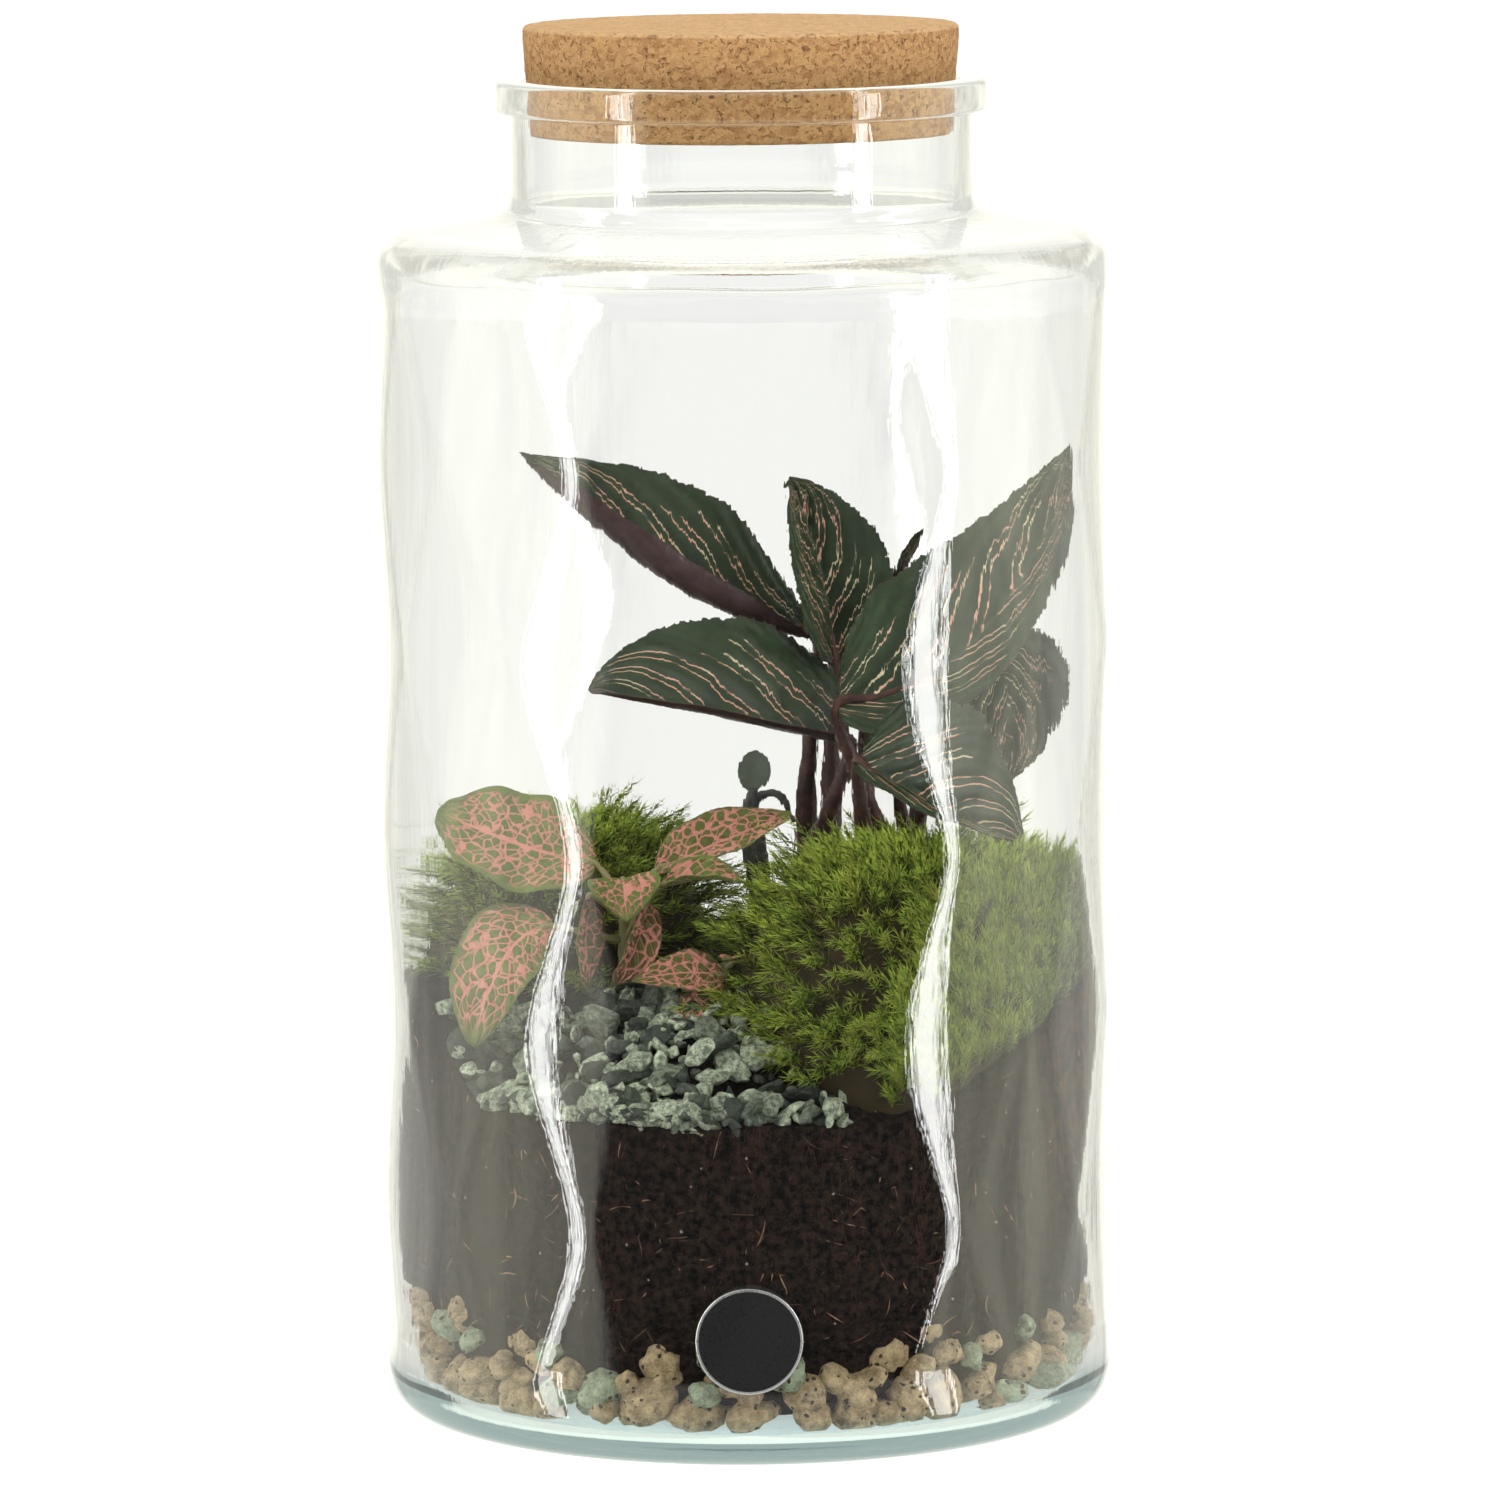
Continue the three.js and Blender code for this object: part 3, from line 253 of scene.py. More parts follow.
class FillingSettings(bpy.types.PropertyGroup):
    """Granules, soil and gravel."""

    granule: a_length("Granule", "Half the width of a clay granule", 5.3 * MM)
    clay: a_colour("Clay", "Baked clay", (0.47, 0.37, 0.22))
    clay_green: a_colour("Green clay", "The few pale green granules", (0.33, 0.40, 0.28))
    soil: a_colour("Soil", "Damp potting soil", (0.014, 0.010, 0.008))
    fibre: a_colour("Fibre", "Fibres in the soil", (0.075, 0.034, 0.02))
    root: a_colour("Roots", "Brown roots and bark at the right", (0.10, 0.045, 0.018))
    chips: a_count("Chips", "Gravel chips on the heap", 520, 10)
    # Each chip takes a tone between these two at random: partly the slate's own tones, partly painted light
    # and shade, the light colour for lit tops and the dark one for shaded chips.
    chip_light: a_colour("Light chips", "Dry faces of the gravel", (0.38, 0.42, 0.32))
    chip_dark: a_colour("Dark chips", "Damp faces of the gravel", (0.030, 0.037, 0.028))


class MossSettings(bpy.types.PropertyGroup):
    """The two moss cushions."""

    spacing: a_length("Spacing", "Distance between neighbouring shoots", 2.35 * MM)
    shoot: a_length("Shoot", "Length of one shoot", 11 * MM)
    needle: a_length("Needle", "Length of one needle leaf", 4.0 * MM)
    # The tip colour is partly painted light on the needle tips, and the deep colour partly painted shade low
    # in the cushion.
    fresh_and_lit: a_colour("Fresh moss", "Needle tips in the light", (0.46, 0.62, 0.08))
    deep: a_colour("Deep moss", "Needle bases and the shade below", (0.022, 0.042, 0.008))


class LeafSettings(bpy.types.PropertyGroup):
    """The striped and the net-veined leaves."""

    blade: a_length("Blade", "Thickness of a blade", 0.5 * MM)
    striped: a_colour("Striped leaf", "Upper side of the striped leaves", (0.017, 0.029, 0.013))
    stripe: a_colour("Stripe", "Fine stripes", (0.68, 0.38, 0.28))
    underside: a_colour("Underside", "Underside of the striped leaves", (0.045, 0.024, 0.024))
    petiole: a_colour("Petiole", "Leaf stalks of the striped plant", (0.055, 0.024, 0.020))
    net_leaf: a_colour("Net leaf", "Green of the net-veined leaves", (0.12, 0.18, 0.035))
    net: a_colour("Net", "Veins of the net-veined leaves", (0.62, 0.25, 0.20))
    stem: a_colour("Stem", "Stems of the net-veined plant", (0.24, 0.22, 0.10))
    shoot: a_colour("Young shoot", "The dark young shoot", (0.045, 0.045, 0.042))


class StageSettings(bpy.types.PropertyGroup):
    """Floor, light and camera."""

    floor: a_colour("Floor", "The pale floor", (0.86, 0.86, 0.86))
    strip_brightness: a_level("Strip lights", "Brightness of the two tall lights", 11.0)
    key_brightness: a_level("Key lights", "Brightness of the soft lights", 2.0)
    haze: a_level("Haze", "Brightness of the walls that the glass reflects", 1.2)
    fill: a_level("Fill", "Brightness of the surroundings as light", 0.25)


# ---------------------------------------------------------------- shapes as arrays


class Shape:
    """Points in millimetres, faces as arrays of point numbers, and named values, one a point."""

    def __init__(self, points, faces, **values):
        self.points = np.asarray(points, float).reshape(-1, 3)
        self.faces = [np.asarray(f, int) for f in faces]
        self.values = {k: np.broadcast_to(v, len(self.points)).astype(float) for k, v in values.items()}


def joined(shapes):
    """One shape from several; a value that a shape lacks is nought on it."""
    names = sorted({name for shape in shapes for name in shape.values})
    starts = np.cumsum([0] + [len(shape.points) for shape in shapes])
    faces = [f + start for shape, start in zip(shapes, starts) for f in shape.faces]
    values = {
        name: np.concatenate([shape.values.get(name, np.zeros(len(shape.points))) for shape in shapes])
        for name in names
    }
    return Shape(np.concatenate([shape.points for shape in shapes]), faces, **values)


def unit(vectors):
    return vectors / np.maximum(np.linalg.norm(vectors, axis=-1, keepdims=True), 1e-9)


def smoothstep(x, low, high):
    share = np.clip((x - low) / (high - low), 0, 1)
    return share * share * (3 - 2 * share)


def lumps(points, size, seed, layers=3):
    """Smooth noise of about -1 to 1: in each layer five sine waves in random directions are added up,
    and each layer is about twice as fine as the one before and weaker."""
    rng = np.random.default_rng(seed)
    total = np.zeros(points.shape[:-1])
    for layer in range(layers):
        waves = unit(rng.normal(size=(5, 3))) * 2 * np.pi / size * 1.9**layer
        phases = rng.uniform(0, 2 * np.pi, 5)
        total += 0.4 * 0.6**layer * np.sin(points @ waves.T + phases).sum(-1)
    return total


def grid_quads(rows, columns, wrap=False):
    """Quads of a grid of points, rows by columns. They face along (columns) x (rows)."""
    r = np.arange(rows - 1)[:, None]
    c = np.arange(columns if wrap else columns - 1)[None, :]
    following = (c + 1) % columns
    corners = [r * columns + c, r * columns + following, (r + 1) * columns + following, (r + 1) * columns + c]
    return np.stack([np.broadcast_to(k, (rows - 1, c.shape[1])) for k in corners], -1).reshape(-1, 4)


def turns(sides):
    """The angles of even steps once round a circle."""
    return 2 * np.pi * np.arange(sides) / sides


def about_axis(angle, radius, z):
    """Points at an angle from the front, a distance from the jar's axis and a height."""
    return np.stack(np.broadcast_arrays(radius * np.sin(angle), -radius * np.cos(angle), z), -1)


def closed_rings(rings, first_end, last_end, **values):
    """A closed shape: rings of points, joined each to the next, with a fan to an end point at either end.
    Each value is one number, or one for each ring."""
    rows, sides = rings.shape[:2]
    around = np.arange(sides)
    following = (around + 1) % sides
    first = np.stack([np.full(sides, rows * sides), following, around], -1)
    last = np.stack([np.full(sides, rows * sides + 1), around, following], -1)
    last[:, 1:] += (rows - 1) * sides
    points = np.concatenate([rings.reshape(-1, 3), [first_end, last_end]])
    of_ring = np.append(np.repeat(np.arange(rows), sides), (0, rows - 1))
    values = {key: np.broadcast_to(value, rows)[of_ring] for key, value in values.items()}
    return Shape(points, [grid_quads(rows, sides, wrap=True), first, last], **values)


def turned(profile, sides, offset=None):
    """A profile of (radius, height) from the axis to the axis, turned about it: a point at the angle a
    from the front is (r sin a, -r cos a, z). offset(angle, z, radius) is added to the radius."""
    profile = np.asarray(profile, float)
    angle = turns(sides)
    radius = np.repeat(profile[1:-1, :1], sides, 1)
    z = np.repeat(profile[1:-1, 1:], sides, 1)
    if offset is not None:
        radius = radius + offset(angle[None, :], z, radius)
    rings = about_axis(angle, radius, z)
    return closed_rings(rings, (0, 0, profile[0, 1]), (0, 0, profile[-1, 1]))


def line(start, end, pieces):
    """Points from start to just before end."""
    share = np.arange(pieces)[:, None] / pieces
    return np.asarray(start) * (1 - share) + np.asarray(end) * share


def bend(start, corner, end, pieces):
    """Points on the quadratic curve from start towards corner to just before end."""
    s = np.arange(pieces)[:, None] / pieces
    return (1 - s) ** 2 * np.asarray(start) + 2 * s * (1 - s) * np.asarray(corner) + s**2 * np.asarray(end)


def smooth_path(points, radii, steps):
    """A Catmull-Rom curve through the points, with the radii eased along it."""
    points = np.asarray(points, float)
    padded = np.concatenate([2 * points[:1] - points[1:2], points, 2 * points[-1:] - points[-2:-1]])
    place = np.linspace(0, len(points) - 1, steps)
    k = np.minimum(place.astype(int), len(points) - 2)
    s = (place - k)[:, None]
    a, b, c, d = (padded[k + i] for i in range(4))
    curve = 0.5 * (2 * b + (c - a) * s + (2 * a - 5 * b + 4 * c - d) * s**2 + (3 * b - a - 3 * c + d) * s**3)
    return curve, np.interp(place, np.arange(len(points)), radii)


def tube(path, radii, sides):
    """A round rod: at each point of the path, a ring in the plane across it, whose first direction is
    carried along from the ring before. Both ends are closed with fans. Its values say that it's a stalk
    and give the place along it."""
    path = np.asarray(path, float)
    along = unit(np.gradient(path, axis=0))
    across = np.zeros_like(along)
    aside = (0.31, 0.82, 0.48) if abs(along[0][2]) > 0.5 else (0.2, 0.1, 0.97)
    across[0] = unit(np.cross(along[0], aside))
    for i in range(1, len(path)):
        across[i] = unit(across[i - 1] - along[i] * across[i - 1].dot(along[i]))
    up = np.cross(along, across)
    angle = turns(sides)[None, :, None]
    ring = across[:, None] * np.cos(angle) + up[:, None] * np.sin(angle)
    rings = path[:, None] + ring * np.asarray(radii)[:, None, None]
    return closed_rings(rings, path[0], path[-1], along=np.linspace(0, 1, len(path)), stalk=1)


def closed_sheet(front, back, **values):
    """Two grids of points, front and back, closed round their edge. Values are given for the front."""
    rows, columns = front.shape[:2]
    quads = grid_quads(rows, columns)
    count = rows * columns
    number = np.arange(count).reshape(rows, columns)
    loop = np.concatenate([number[0, :-1], number[:-1, -1], number[-1, :0:-1], number[:0:-1, 0]])
    following = np.roll(loop, -1)
    rim = np.stack([following, loop, loop + count, following + count], -1)
    doubled = {k: np.tile(np.broadcast_to(v, (rows, columns)).ravel(), 2) for k, v in values.items()}
    under = np.repeat([0.0, 1.0], count)
    points = np.concatenate([front.reshape(-1, 3), back.reshape(-1, 3)])
    return Shape(points, [quads, quads[:, ::-1] + count, rim], under=under, **doubled)


def inside_glass(shape, reach=INSIDE):
    """What would cross the glass is pressed against it: its distance from the axis is held at reach, and
    low down at the rounded corner between the wall and the floor."""
    radius = np.maximum(np.hypot(shape.points[:, 0], shape.points[:, 1]), 1e-6)
    below = np.clip(BASE + GAP + FLOOR_FILLET - shape.points[:, 2], 0, FLOOR_FILLET)
    corner = reach - FLOOR_FILLET + np.sqrt(FLOOR_FILLET**2 - below**2)
    shape.points[:, :2] *= np.minimum(1, corner / radius)[:, None]
    return shape


# ---------------------------------------------------------------- pieces in the scene


def make_piece(name, shape, material, replaced=(), smooth=True):
    """Puts a shape into the scene as a mesh in metres, that rides on the jar's body."""
    mesh = bpy.data.meshes.new(name)
    sizes = np.concatenate([np.full(len(f), f.shape[1]) for f in shape.faces])
    corners = np.concatenate([f.ravel() for f in shape.faces])
    mesh.vertices.add(len(shape.points))
    mesh.vertices.foreach_set("co", (shape.points * MM).ravel())
    mesh.loops.add(len(corners))
    mesh.loops.foreach_set("vertex_index", corners)
    mesh.polygons.add(len(sizes))
    mesh.polygons.foreach_set("loop_start", np.cumsum(sizes) - sizes)
    mesh.polygons.foreach_set("use_smooth", np.full(len(sizes), smooth))
    mesh.update(calc_edges=True)
    for key, value in shape.values.items():
        mesh.attributes.new(key, "FLOAT", "POINT").data.foreach_set("value", value)
    if mesh.validate():
        raise RuntimeError(f"{name} has faulty faces")
    mesh.materials.append(material)
    piece = bpy.data.objects.new(name, mesh)
    bpy.context.scene.collection.objects.link(piece)
    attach(piece, "root")
    if replaced:
        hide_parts(*replaced)


# ---------------------------------------------------------------- shader helpers


def add(tree, kind, sockets=None, **settings):
    """A node with its settings; each socket gets a value or a link."""
    node = tree.nodes.new(kind)
    for key, value in settings.items():
        setattr(node, key, value)
    for key, value in (sockets or {}).items():
        if isinstance(value, bpy.types.NodeSocket):
            tree.links.new(value, node.inputs[key])
        else:
            node.inputs[key].default_value = value
    return node


def maths(tree, operation, *values):
    return add(tree, "ShaderNodeMath", dict(enumerate(values)), operation=operation).outputs[0]


def blended(tree, share, low, high, blend_type="MIX"):
    """Colour low where share is nought and high where it is one."""
    sockets = {0: share, 6: rgba(low), 7: rgba(high)}
    return add(tree, "ShaderNodeMix", sockets, data_type="RGBA", blend_type=blend_type).outputs[2]


def multiplied(tree, first, second):
    return blended(tree, 1.0, first, second, "MULTIPLY")


def chosen(tree, share, low, high):
    """A number, low where share is nought and high where it is one."""
    return add(tree, "ShaderNodeMix", {0: share, 2: low, 3: high}).outputs[0]


def mixed_shader(tree, share, first, second):
    return add(tree, "ShaderNodeMixShader", {0: share, 1: first, 2: second}).outputs[0]


def scaled(colour, share):
    return [share * c for c in colour]


def rgba(value):
    if isinstance(value, bpy.types.NodeSocket):
        return value
    return (*value, 1.0)


def eased(tree, value, low, high, start=0.0, end=1.0):
    """Value eased from start at low to end at high."""
    sockets = {"Value": value, "From Min": low, "From Max": high, "To Min": start, "To Max": end}
    return add(tree, "ShaderNodeMapRange", sockets, interpolation_type="SMOOTHSTEP").outputs[0]


def noise(tree, vector, scale, detail=2.0, roughness=0.5):
    sockets = {"Vector": vector, "Scale": scale, "Detail": detail, "Roughness": roughness}
    return add(tree, "ShaderNodeTexNoise", sockets)


def warped(tree, vector, moves, distance):
    """A place moved by a noise's colour, by at most a distance in millimetres."""
    sockets = {0: moves.outputs["Color"], "Scale": distance * MM}
    shift = add(tree, "ShaderNodeVectorMath", sockets, operation="SCALE").outputs[0]
    return add(tree, "ShaderNodeVectorMath", {0: vector, 1: shift}, operation="ADD").outputs[0]


def stretched(tree, vector, scale, rotation=(0.0, 0.0, 0.0)):
    sockets = {"Vector": vector, "Rotation": rotation, "Scale": scale}
    return add(tree, "ShaderNodeMapping", sockets).outputs[0]


def off_half(tree, value):
    """How far a value is from a half."""
    return maths(tree, "ABSOLUTE", maths(tree, "SUBTRACT", value, 0.5))


def value_of(tree, name):
    return add(tree, "ShaderNodeAttribute", attribute_name=name).outputs["Fac"]


def new_group(name, inputs, outputs):
    """An empty shader node group with named sockets: (name, kind, default)."""
    group = bpy.data.node_groups.new(name, "ShaderNodeTree")
    for label, kind, default in inputs:
        socket = group.interface.new_socket(label, in_out="INPUT", socket_type=kind)
        if default is not None:
            socket.default_value = default
    for label, kind in outputs:
        group.interface.new_socket(label, in_out="OUTPUT", socket_type=kind)
    return group, add(group, "NodeGroupInput"), add(group, "NodeGroupOutput")


def grouped(tree, group, **sockets):
    node = add(tree, "ShaderNodeGroup", node_tree=group)
    for key, value in sockets.items():
        label = key.replace("_", " ").capitalize()
        if isinstance(value, bpy.types.NodeSocket):
            tree.links.new(value, node.inputs[label])
        else:
            node.inputs[label].default_value = value
    return node


def mottle_group():
    """Patches of two colours: broad noise and fine noise, added and eased to a mask, with a height."""
    if "Mottle" in bpy.data.node_groups:
        return bpy.data.node_groups["Mottle"]
    group, given, out = new_group(
        "Mottle",
        [
            ("Vector", "NodeSocketVector", None),
            ("Scale", "NodeSocketFloat", 100.0),
            ("Contrast", "NodeSocketFloat", 0.5),
            ("Low", "NodeSocketColor", (0, 0, 0, 1)),
            ("High", "NodeSocketColor", (1, 1, 1, 1)),
        ],
        [("Color", "NodeSocketColor"), ("Height", "NodeSocketFloat")],
    )
    vector, scale = given.outputs["Vector"], given.outputs["Scale"]
    broad = noise(group, vector, scale, 3.0)
    fine = noise(group, vector, maths(group, "MULTIPLY", scale, 4.3), 4.0, 0.65)
    broad_part = maths(group, "MULTIPLY", broad.outputs[0], 0.55)
    mixed = maths(group, "MULTIPLY_ADD", fine.outputs[0], 0.45, broad_part)
    spread = maths(group, "SUBTRACT", 0.6, maths(group, "MULTIPLY", given.outputs["Contrast"], 0.5))
    low = maths(group, "SUBTRACT", 0.5, maths(group, "MULTIPLY", spread, 0.5))
    high = maths(group, "ADD", 0.5, maths(group, "MULTIPLY", spread, 0.5))
    mask = eased(group, mixed, low, high)
    group.links.new(blended(group, mask, given.outputs["Low"], given.outputs["High"]), out.inputs["Color"])
    group.links.new(mixed, out.inputs["Height"])
    return group


def mottled(tree, vector, scale, contrast, low, high):
    """The mottle group, from a low to a high colour."""
    low, high = (*low, 1.0), (*high, 1.0)
    return grouped(tree, mottle_group(), vector=vector, scale=scale, contrast=contrast, low=low, high=high)


def mottled_about(tree, vector, scale, contrast, colour, darkest, lightest):
    """The mottle group, between two shares of one colour."""
    return mottled(tree, vector, scale, contrast, scaled(colour, darkest), scaled(colour, lightest))


def pits_group():
    """Small round pits: one near each Voronoi point that is drawn as open. Puts out a mask of the pits."""
    if "Pits" in bpy.data.node_groups:
        return bpy.data.node_groups["Pits"]
    group, given, out = new_group(
        "Pits",
        [
            ("Vector", "NodeSocketVector", None),
            ("Scale", "NodeSocketFloat", 300.0),
            ("Size", "NodeSocketFloat", 0.25),
            ("Share", "NodeSocketFloat", 0.4),
        ],
        [("Mask", "NodeSocketFloat")],
    )
    vector, scale = given.outputs["Vector"], given.outputs["Scale"]
    moved = warped(group, vector, noise(group, vector, scale), 1.2)
    cells = add(group, "ShaderNodeTexVoronoi", {"Vector": moved, "Scale": scale})
    near = maths(group, "LESS_THAN", cells.outputs["Distance"], given.outputs["Size"])
    split = add(group, "ShaderNodeSeparateColor", {0: cells.outputs["Color"]})
    drawn = maths(group, "LESS_THAN", split.outputs[0], given.outputs["Share"])
    group.links.new(maths(group, "MULTIPLY", near, drawn), out.inputs["Mask"])
    return group


def chevron_group():
    """Bands that leave a blade's midrib towards its tip: the place along the blade, less a slant times the
    distance from the midrib to a power, times a count, and on the right half shifted, so that the bands
    don't meet. Puts out that place's fraction and whole part, and the distance from the midrib."""
    if "Chevron" in bpy.data.node_groups:
        return bpy.data.node_groups["Chevron"]
    group, given, out = new_group(
        "Chevron",
        [
            ("Along", "NodeSocketFloat", 0.0),
            ("Across", "NodeSocketFloat", 0.0),
            ("Count", "NodeSocketFloat", 10.0),
            ("Slant", "NodeSocketFloat", 0.3),
            ("Power", "NodeSocketFloat", 1.3),
        ],
        [("Fraction", "NodeSocketFloat"), ("Whole", "NodeSocketFloat"), ("Run", "NodeSocketFloat")],
    )
    run = maths(group, "ABSOLUTE", given.outputs["Across"])
    bent = maths(group, "POWER", run, given.outputs["Power"])
    slanted = maths(group, "MULTIPLY", bent, given.outputs["Slant"])
    place = maths(group, "SUBTRACT", given.outputs["Along"], slanted)
    on_right = maths(group, "GREATER_THAN", given.outputs["Across"], 0.0)
    shift = maths(group, "MULTIPLY", on_right, 0.37)
    counted = maths(group, "MULTIPLY_ADD", place, given.outputs["Count"], shift)
    group.links.new(maths(group, "FRACT", counted), out.inputs["Fraction"])
    group.links.new(maths(group, "FLOOR", counted), out.inputs["Whole"])
    group.links.new(run, out.inputs["Run"])
    return group


def new_material(name, roughness, **sockets):
    """A material with a Principled shader; sockets are plain values set on it."""
    material = bpy.data.materials.new(name)
    material.use_nodes = True
    tree = material.node_tree
    shader = tree.nodes["Principled BSDF"]
    shader.inputs["Roughness"].default_value = roughness
    for key, value in sockets.items():
        shader.inputs[key.replace("_", " ")].default_value = value
    return material, tree, shader


def raised(tree, shader, height, distance, strength=1.0):
    """Feeds a height to the shader's normal; distance is in millimetres."""
    bump = add(tree, "ShaderNodeBump", {"Height": height, "Distance": distance * MM, "Strength": strength})
    tree.links.new(bump.outputs[0], shader.inputs["Normal"])


def paint(tree, shader, coloured):
    tree.links.new(coloured, shader.inputs["Base Color"])


def surface(tree, result):
    tree.links.new(result, tree.nodes["Material Output"].inputs["Surface"])


def unmirrored(tree, result):
    """Shows a surface to all rays but reflected ones, which pass through it."""
    depth = add(tree, "ShaderNodeLightPath").outputs["Glossy Depth"]
    bounced = maths(tree, "GREATER_THAN", depth, ONE_BOUNCE)
    clear = add(tree, "ShaderNodeBsdfTransparent").outputs[0]
    surface(tree, mixed_shader(tree, bounced, result, clear))


def place_of(tree):
    return add(tree, "ShaderNodeTexCoord").outputs["Object"]


def axes_of(tree, vector):
    """The three parts of a vector."""
    return add(tree, "ShaderNodeSeparateXYZ", {0: vector}).outputs


# ---------------------------------------------------------------- finishes


def glass_finish(settings):
    """Clear glass with faint draw lines, tinted where it is thick in the base. Shadow rays pass through
    it, and where light has bounced twice inside the wall or the base the glass glows in a pale colour:
    painted light for what goes to and fro in the glass, darker at the very foot as painted shade."""
    material, tree, shader = new_material("Clear glass", 0.0, IOR=1.5)
    shader.inputs["Transmission Weight"].default_value = 1.0
    place = place_of(tree)
    height = axes_of(tree, place)[2]
    above_base = eased(tree, height, 5.0 * MM, 13.0 * MM)
    paint(tree, shader, blended(tree, above_base, settings.base_tint, settings.tint))
    lines = noise(tree, stretched(tree, place, (1.0, 1.0, 0.22)), 300.0, 3.0)
    raised(tree, shader, lines.outputs[0], 0.03)
    # The glow below is painted light, an emission in place of light that bounces to and fro in the glass;
    # near the very foot it is darker, as painted shade.
    foot = eased(tree, height, 0.5 * MM, 6.0 * MM)
    in_base = blended(tree, foot, scaled(settings.base_glow, 0.35), settings.base_glow)
    glow = blended(tree, above_base, in_base, settings.wall_glow)
    # own: the painted glow, which the glass emits; it is not the glass's colour.
    own = add(tree, "ShaderNodeEmission", {"Color": glow}).outputs[0]
    path = add(tree, "ShaderNodeLightPath")
    trapped = maths(tree, "GREATER_THAN", path.outputs["Glossy Depth"], TWO_BOUNCES)
    body = mixed_shader(tree, trapped, shader.outputs[0], own)
    clear = add(tree, "ShaderNodeBsdfTransparent", {"Color": (0.96, 0.97, 0.965, 1.0)}).outputs[0]
    surface(tree, mixed_shader(tree, path.outputs["Is Shadow Ray"], body, clear))
    return material


def cork_finish(settings):
    """Agglomerate cork: flaky granules of several tans pressed together, a broken dark line round each,
    fine grain, and a paler top face. The glass doesn't mirror it."""
    material, tree, shader = new_material("Agglomerate cork", 0.85, Specular_IOR_Level=0.2)
    place = place_of(tree)
    moved = warped(tree, place, noise(tree, place, 700.0, 4.0, 0.65), 2.6)
    flat = stretched(tree, moved, (1.0, 1.0, 1.3))
    cells = add(tree, "ShaderNodeTexVoronoi", {"Vector": flat, "Scale": 700.0})
    cell = add(tree, "ShaderNodeSeparateColor", {0: cells.outputs["Color"]})
    tans = eased(tree, cell.outputs[0], 0.0, 0.7)
    grains = blended(tree, tans, settings.cork_dark, settings.cork_light)
    grain = mottled(tree, place, 2100.0, 0.3, (0.72, 0.66, 0.58), (1.12, 1.12, 1.12))
    coloured = blended(tree, 0.9, grains, grain.outputs["Color"], "MULTIPLY")
    seams = add(tree, "ShaderNodeTexVoronoi", {"Vector": flat, "Scale": 400.0}, feature="DISTANCE_TO_EDGE")
    shown = eased(tree, noise(tree, place, 800.0, 3.0, 0.7).outputs[0], 0.50, 0.62)
    near_seam = eased(tree, seams.outputs["Distance"], 0.01, 0.06, 1.0, 0.0)
    cracks = maths(tree, "MULTIPLY", near_seam, shown)
    cracked = blended(tree, maths(tree, "MULTIPLY", cracks, 0.8), coloured, (0.16, 0.07, 0.025))
    # The top face is painted paler than the sides.
    height = axes_of(tree, place)[2]
    top = eased(tree, height, (CORK["top_z"] - 1.1) * MM, (CORK["top_z"] - 0.6) * MM, 0.0, 0.35)
    paint(tree, shader, blended(tree, top, cracked, (0.80, 0.58, 0.33)))
    raised(tree, shader, maths(tree, "SUBTRACT", grain.outputs["Height"], cracks), 0.3)
    unmirrored(tree, shader.outputs[0])
    return material


def label_finish(settings):
    """Black satin with a fine silver border, by the distance from the middle."""
    material, tree, shader = new_material("Black label", 0.32, Specular_IOR_Level=0.25)
    run = value_of(tree, "run")
    inner_edge = eased(tree, run, 0.935, 0.945)
    outer_edge = eased(tree, run, 0.985, 0.995, 1.0, 0.0)
    border = maths(tree, "MULTIPLY", inner_edge, outer_edge)
    paint(tree, shader, blended(tree, border, settings.label_colour, (0.62, 0.62, 0.62)))
    tree.links.new(border, shader.inputs["Metallic"])
    speckle = noise(tree, place_of(tree), 1500.0)
    tree.links.new(eased(tree, speckle.outputs[0], 0.3, 0.7, 0.26, 0.4), shader.inputs["Roughness"])
    return material


def clay_finish(settings):
    """Porous baked clay: a few stones are pale green; grain, pits painted dark as painted shade inside
    them, and dark smears of soil.
    """
    material, tree, shader = new_material("Baked clay", 0.95)
    place = place_of(tree)
    green = maths(tree, "GREATER_THAN", value_of(tree, "tone"), 0.82)
    stone = blended(tree, green, settings.clay, settings.clay_green)
    grain = mottled(tree, place, 420.0, 0.4, (0.46, 0.42, 0.36), (1.42, 1.40, 1.36))
    coloured = multiplied(tree, stone, grain.outputs["Color"])
    smear = noise(tree, place, 160.0, 5.0, 0.7)
    dirt = eased(tree, smear.outputs[0], 0.56, 0.66)
    dirty = blended(tree, maths(tree, "MULTIPLY", dirt, 0.6), coloured, settings.soil)
    # The pits are painted dark: painted shade inside each pore.
    pits = grouped(tree, pits_group(), vector=place, scale=560.0, size=0.30, share=0.4)
    paint(tree, shader, blended(tree, pits.outputs["Mask"], dirty, (0.06, 0.04, 0.025)))
    raised(tree, shader, maths(tree, "SUBTRACT", grain.outputs["Height"], pits.outputs["Mask"]), 0.9)
    return material


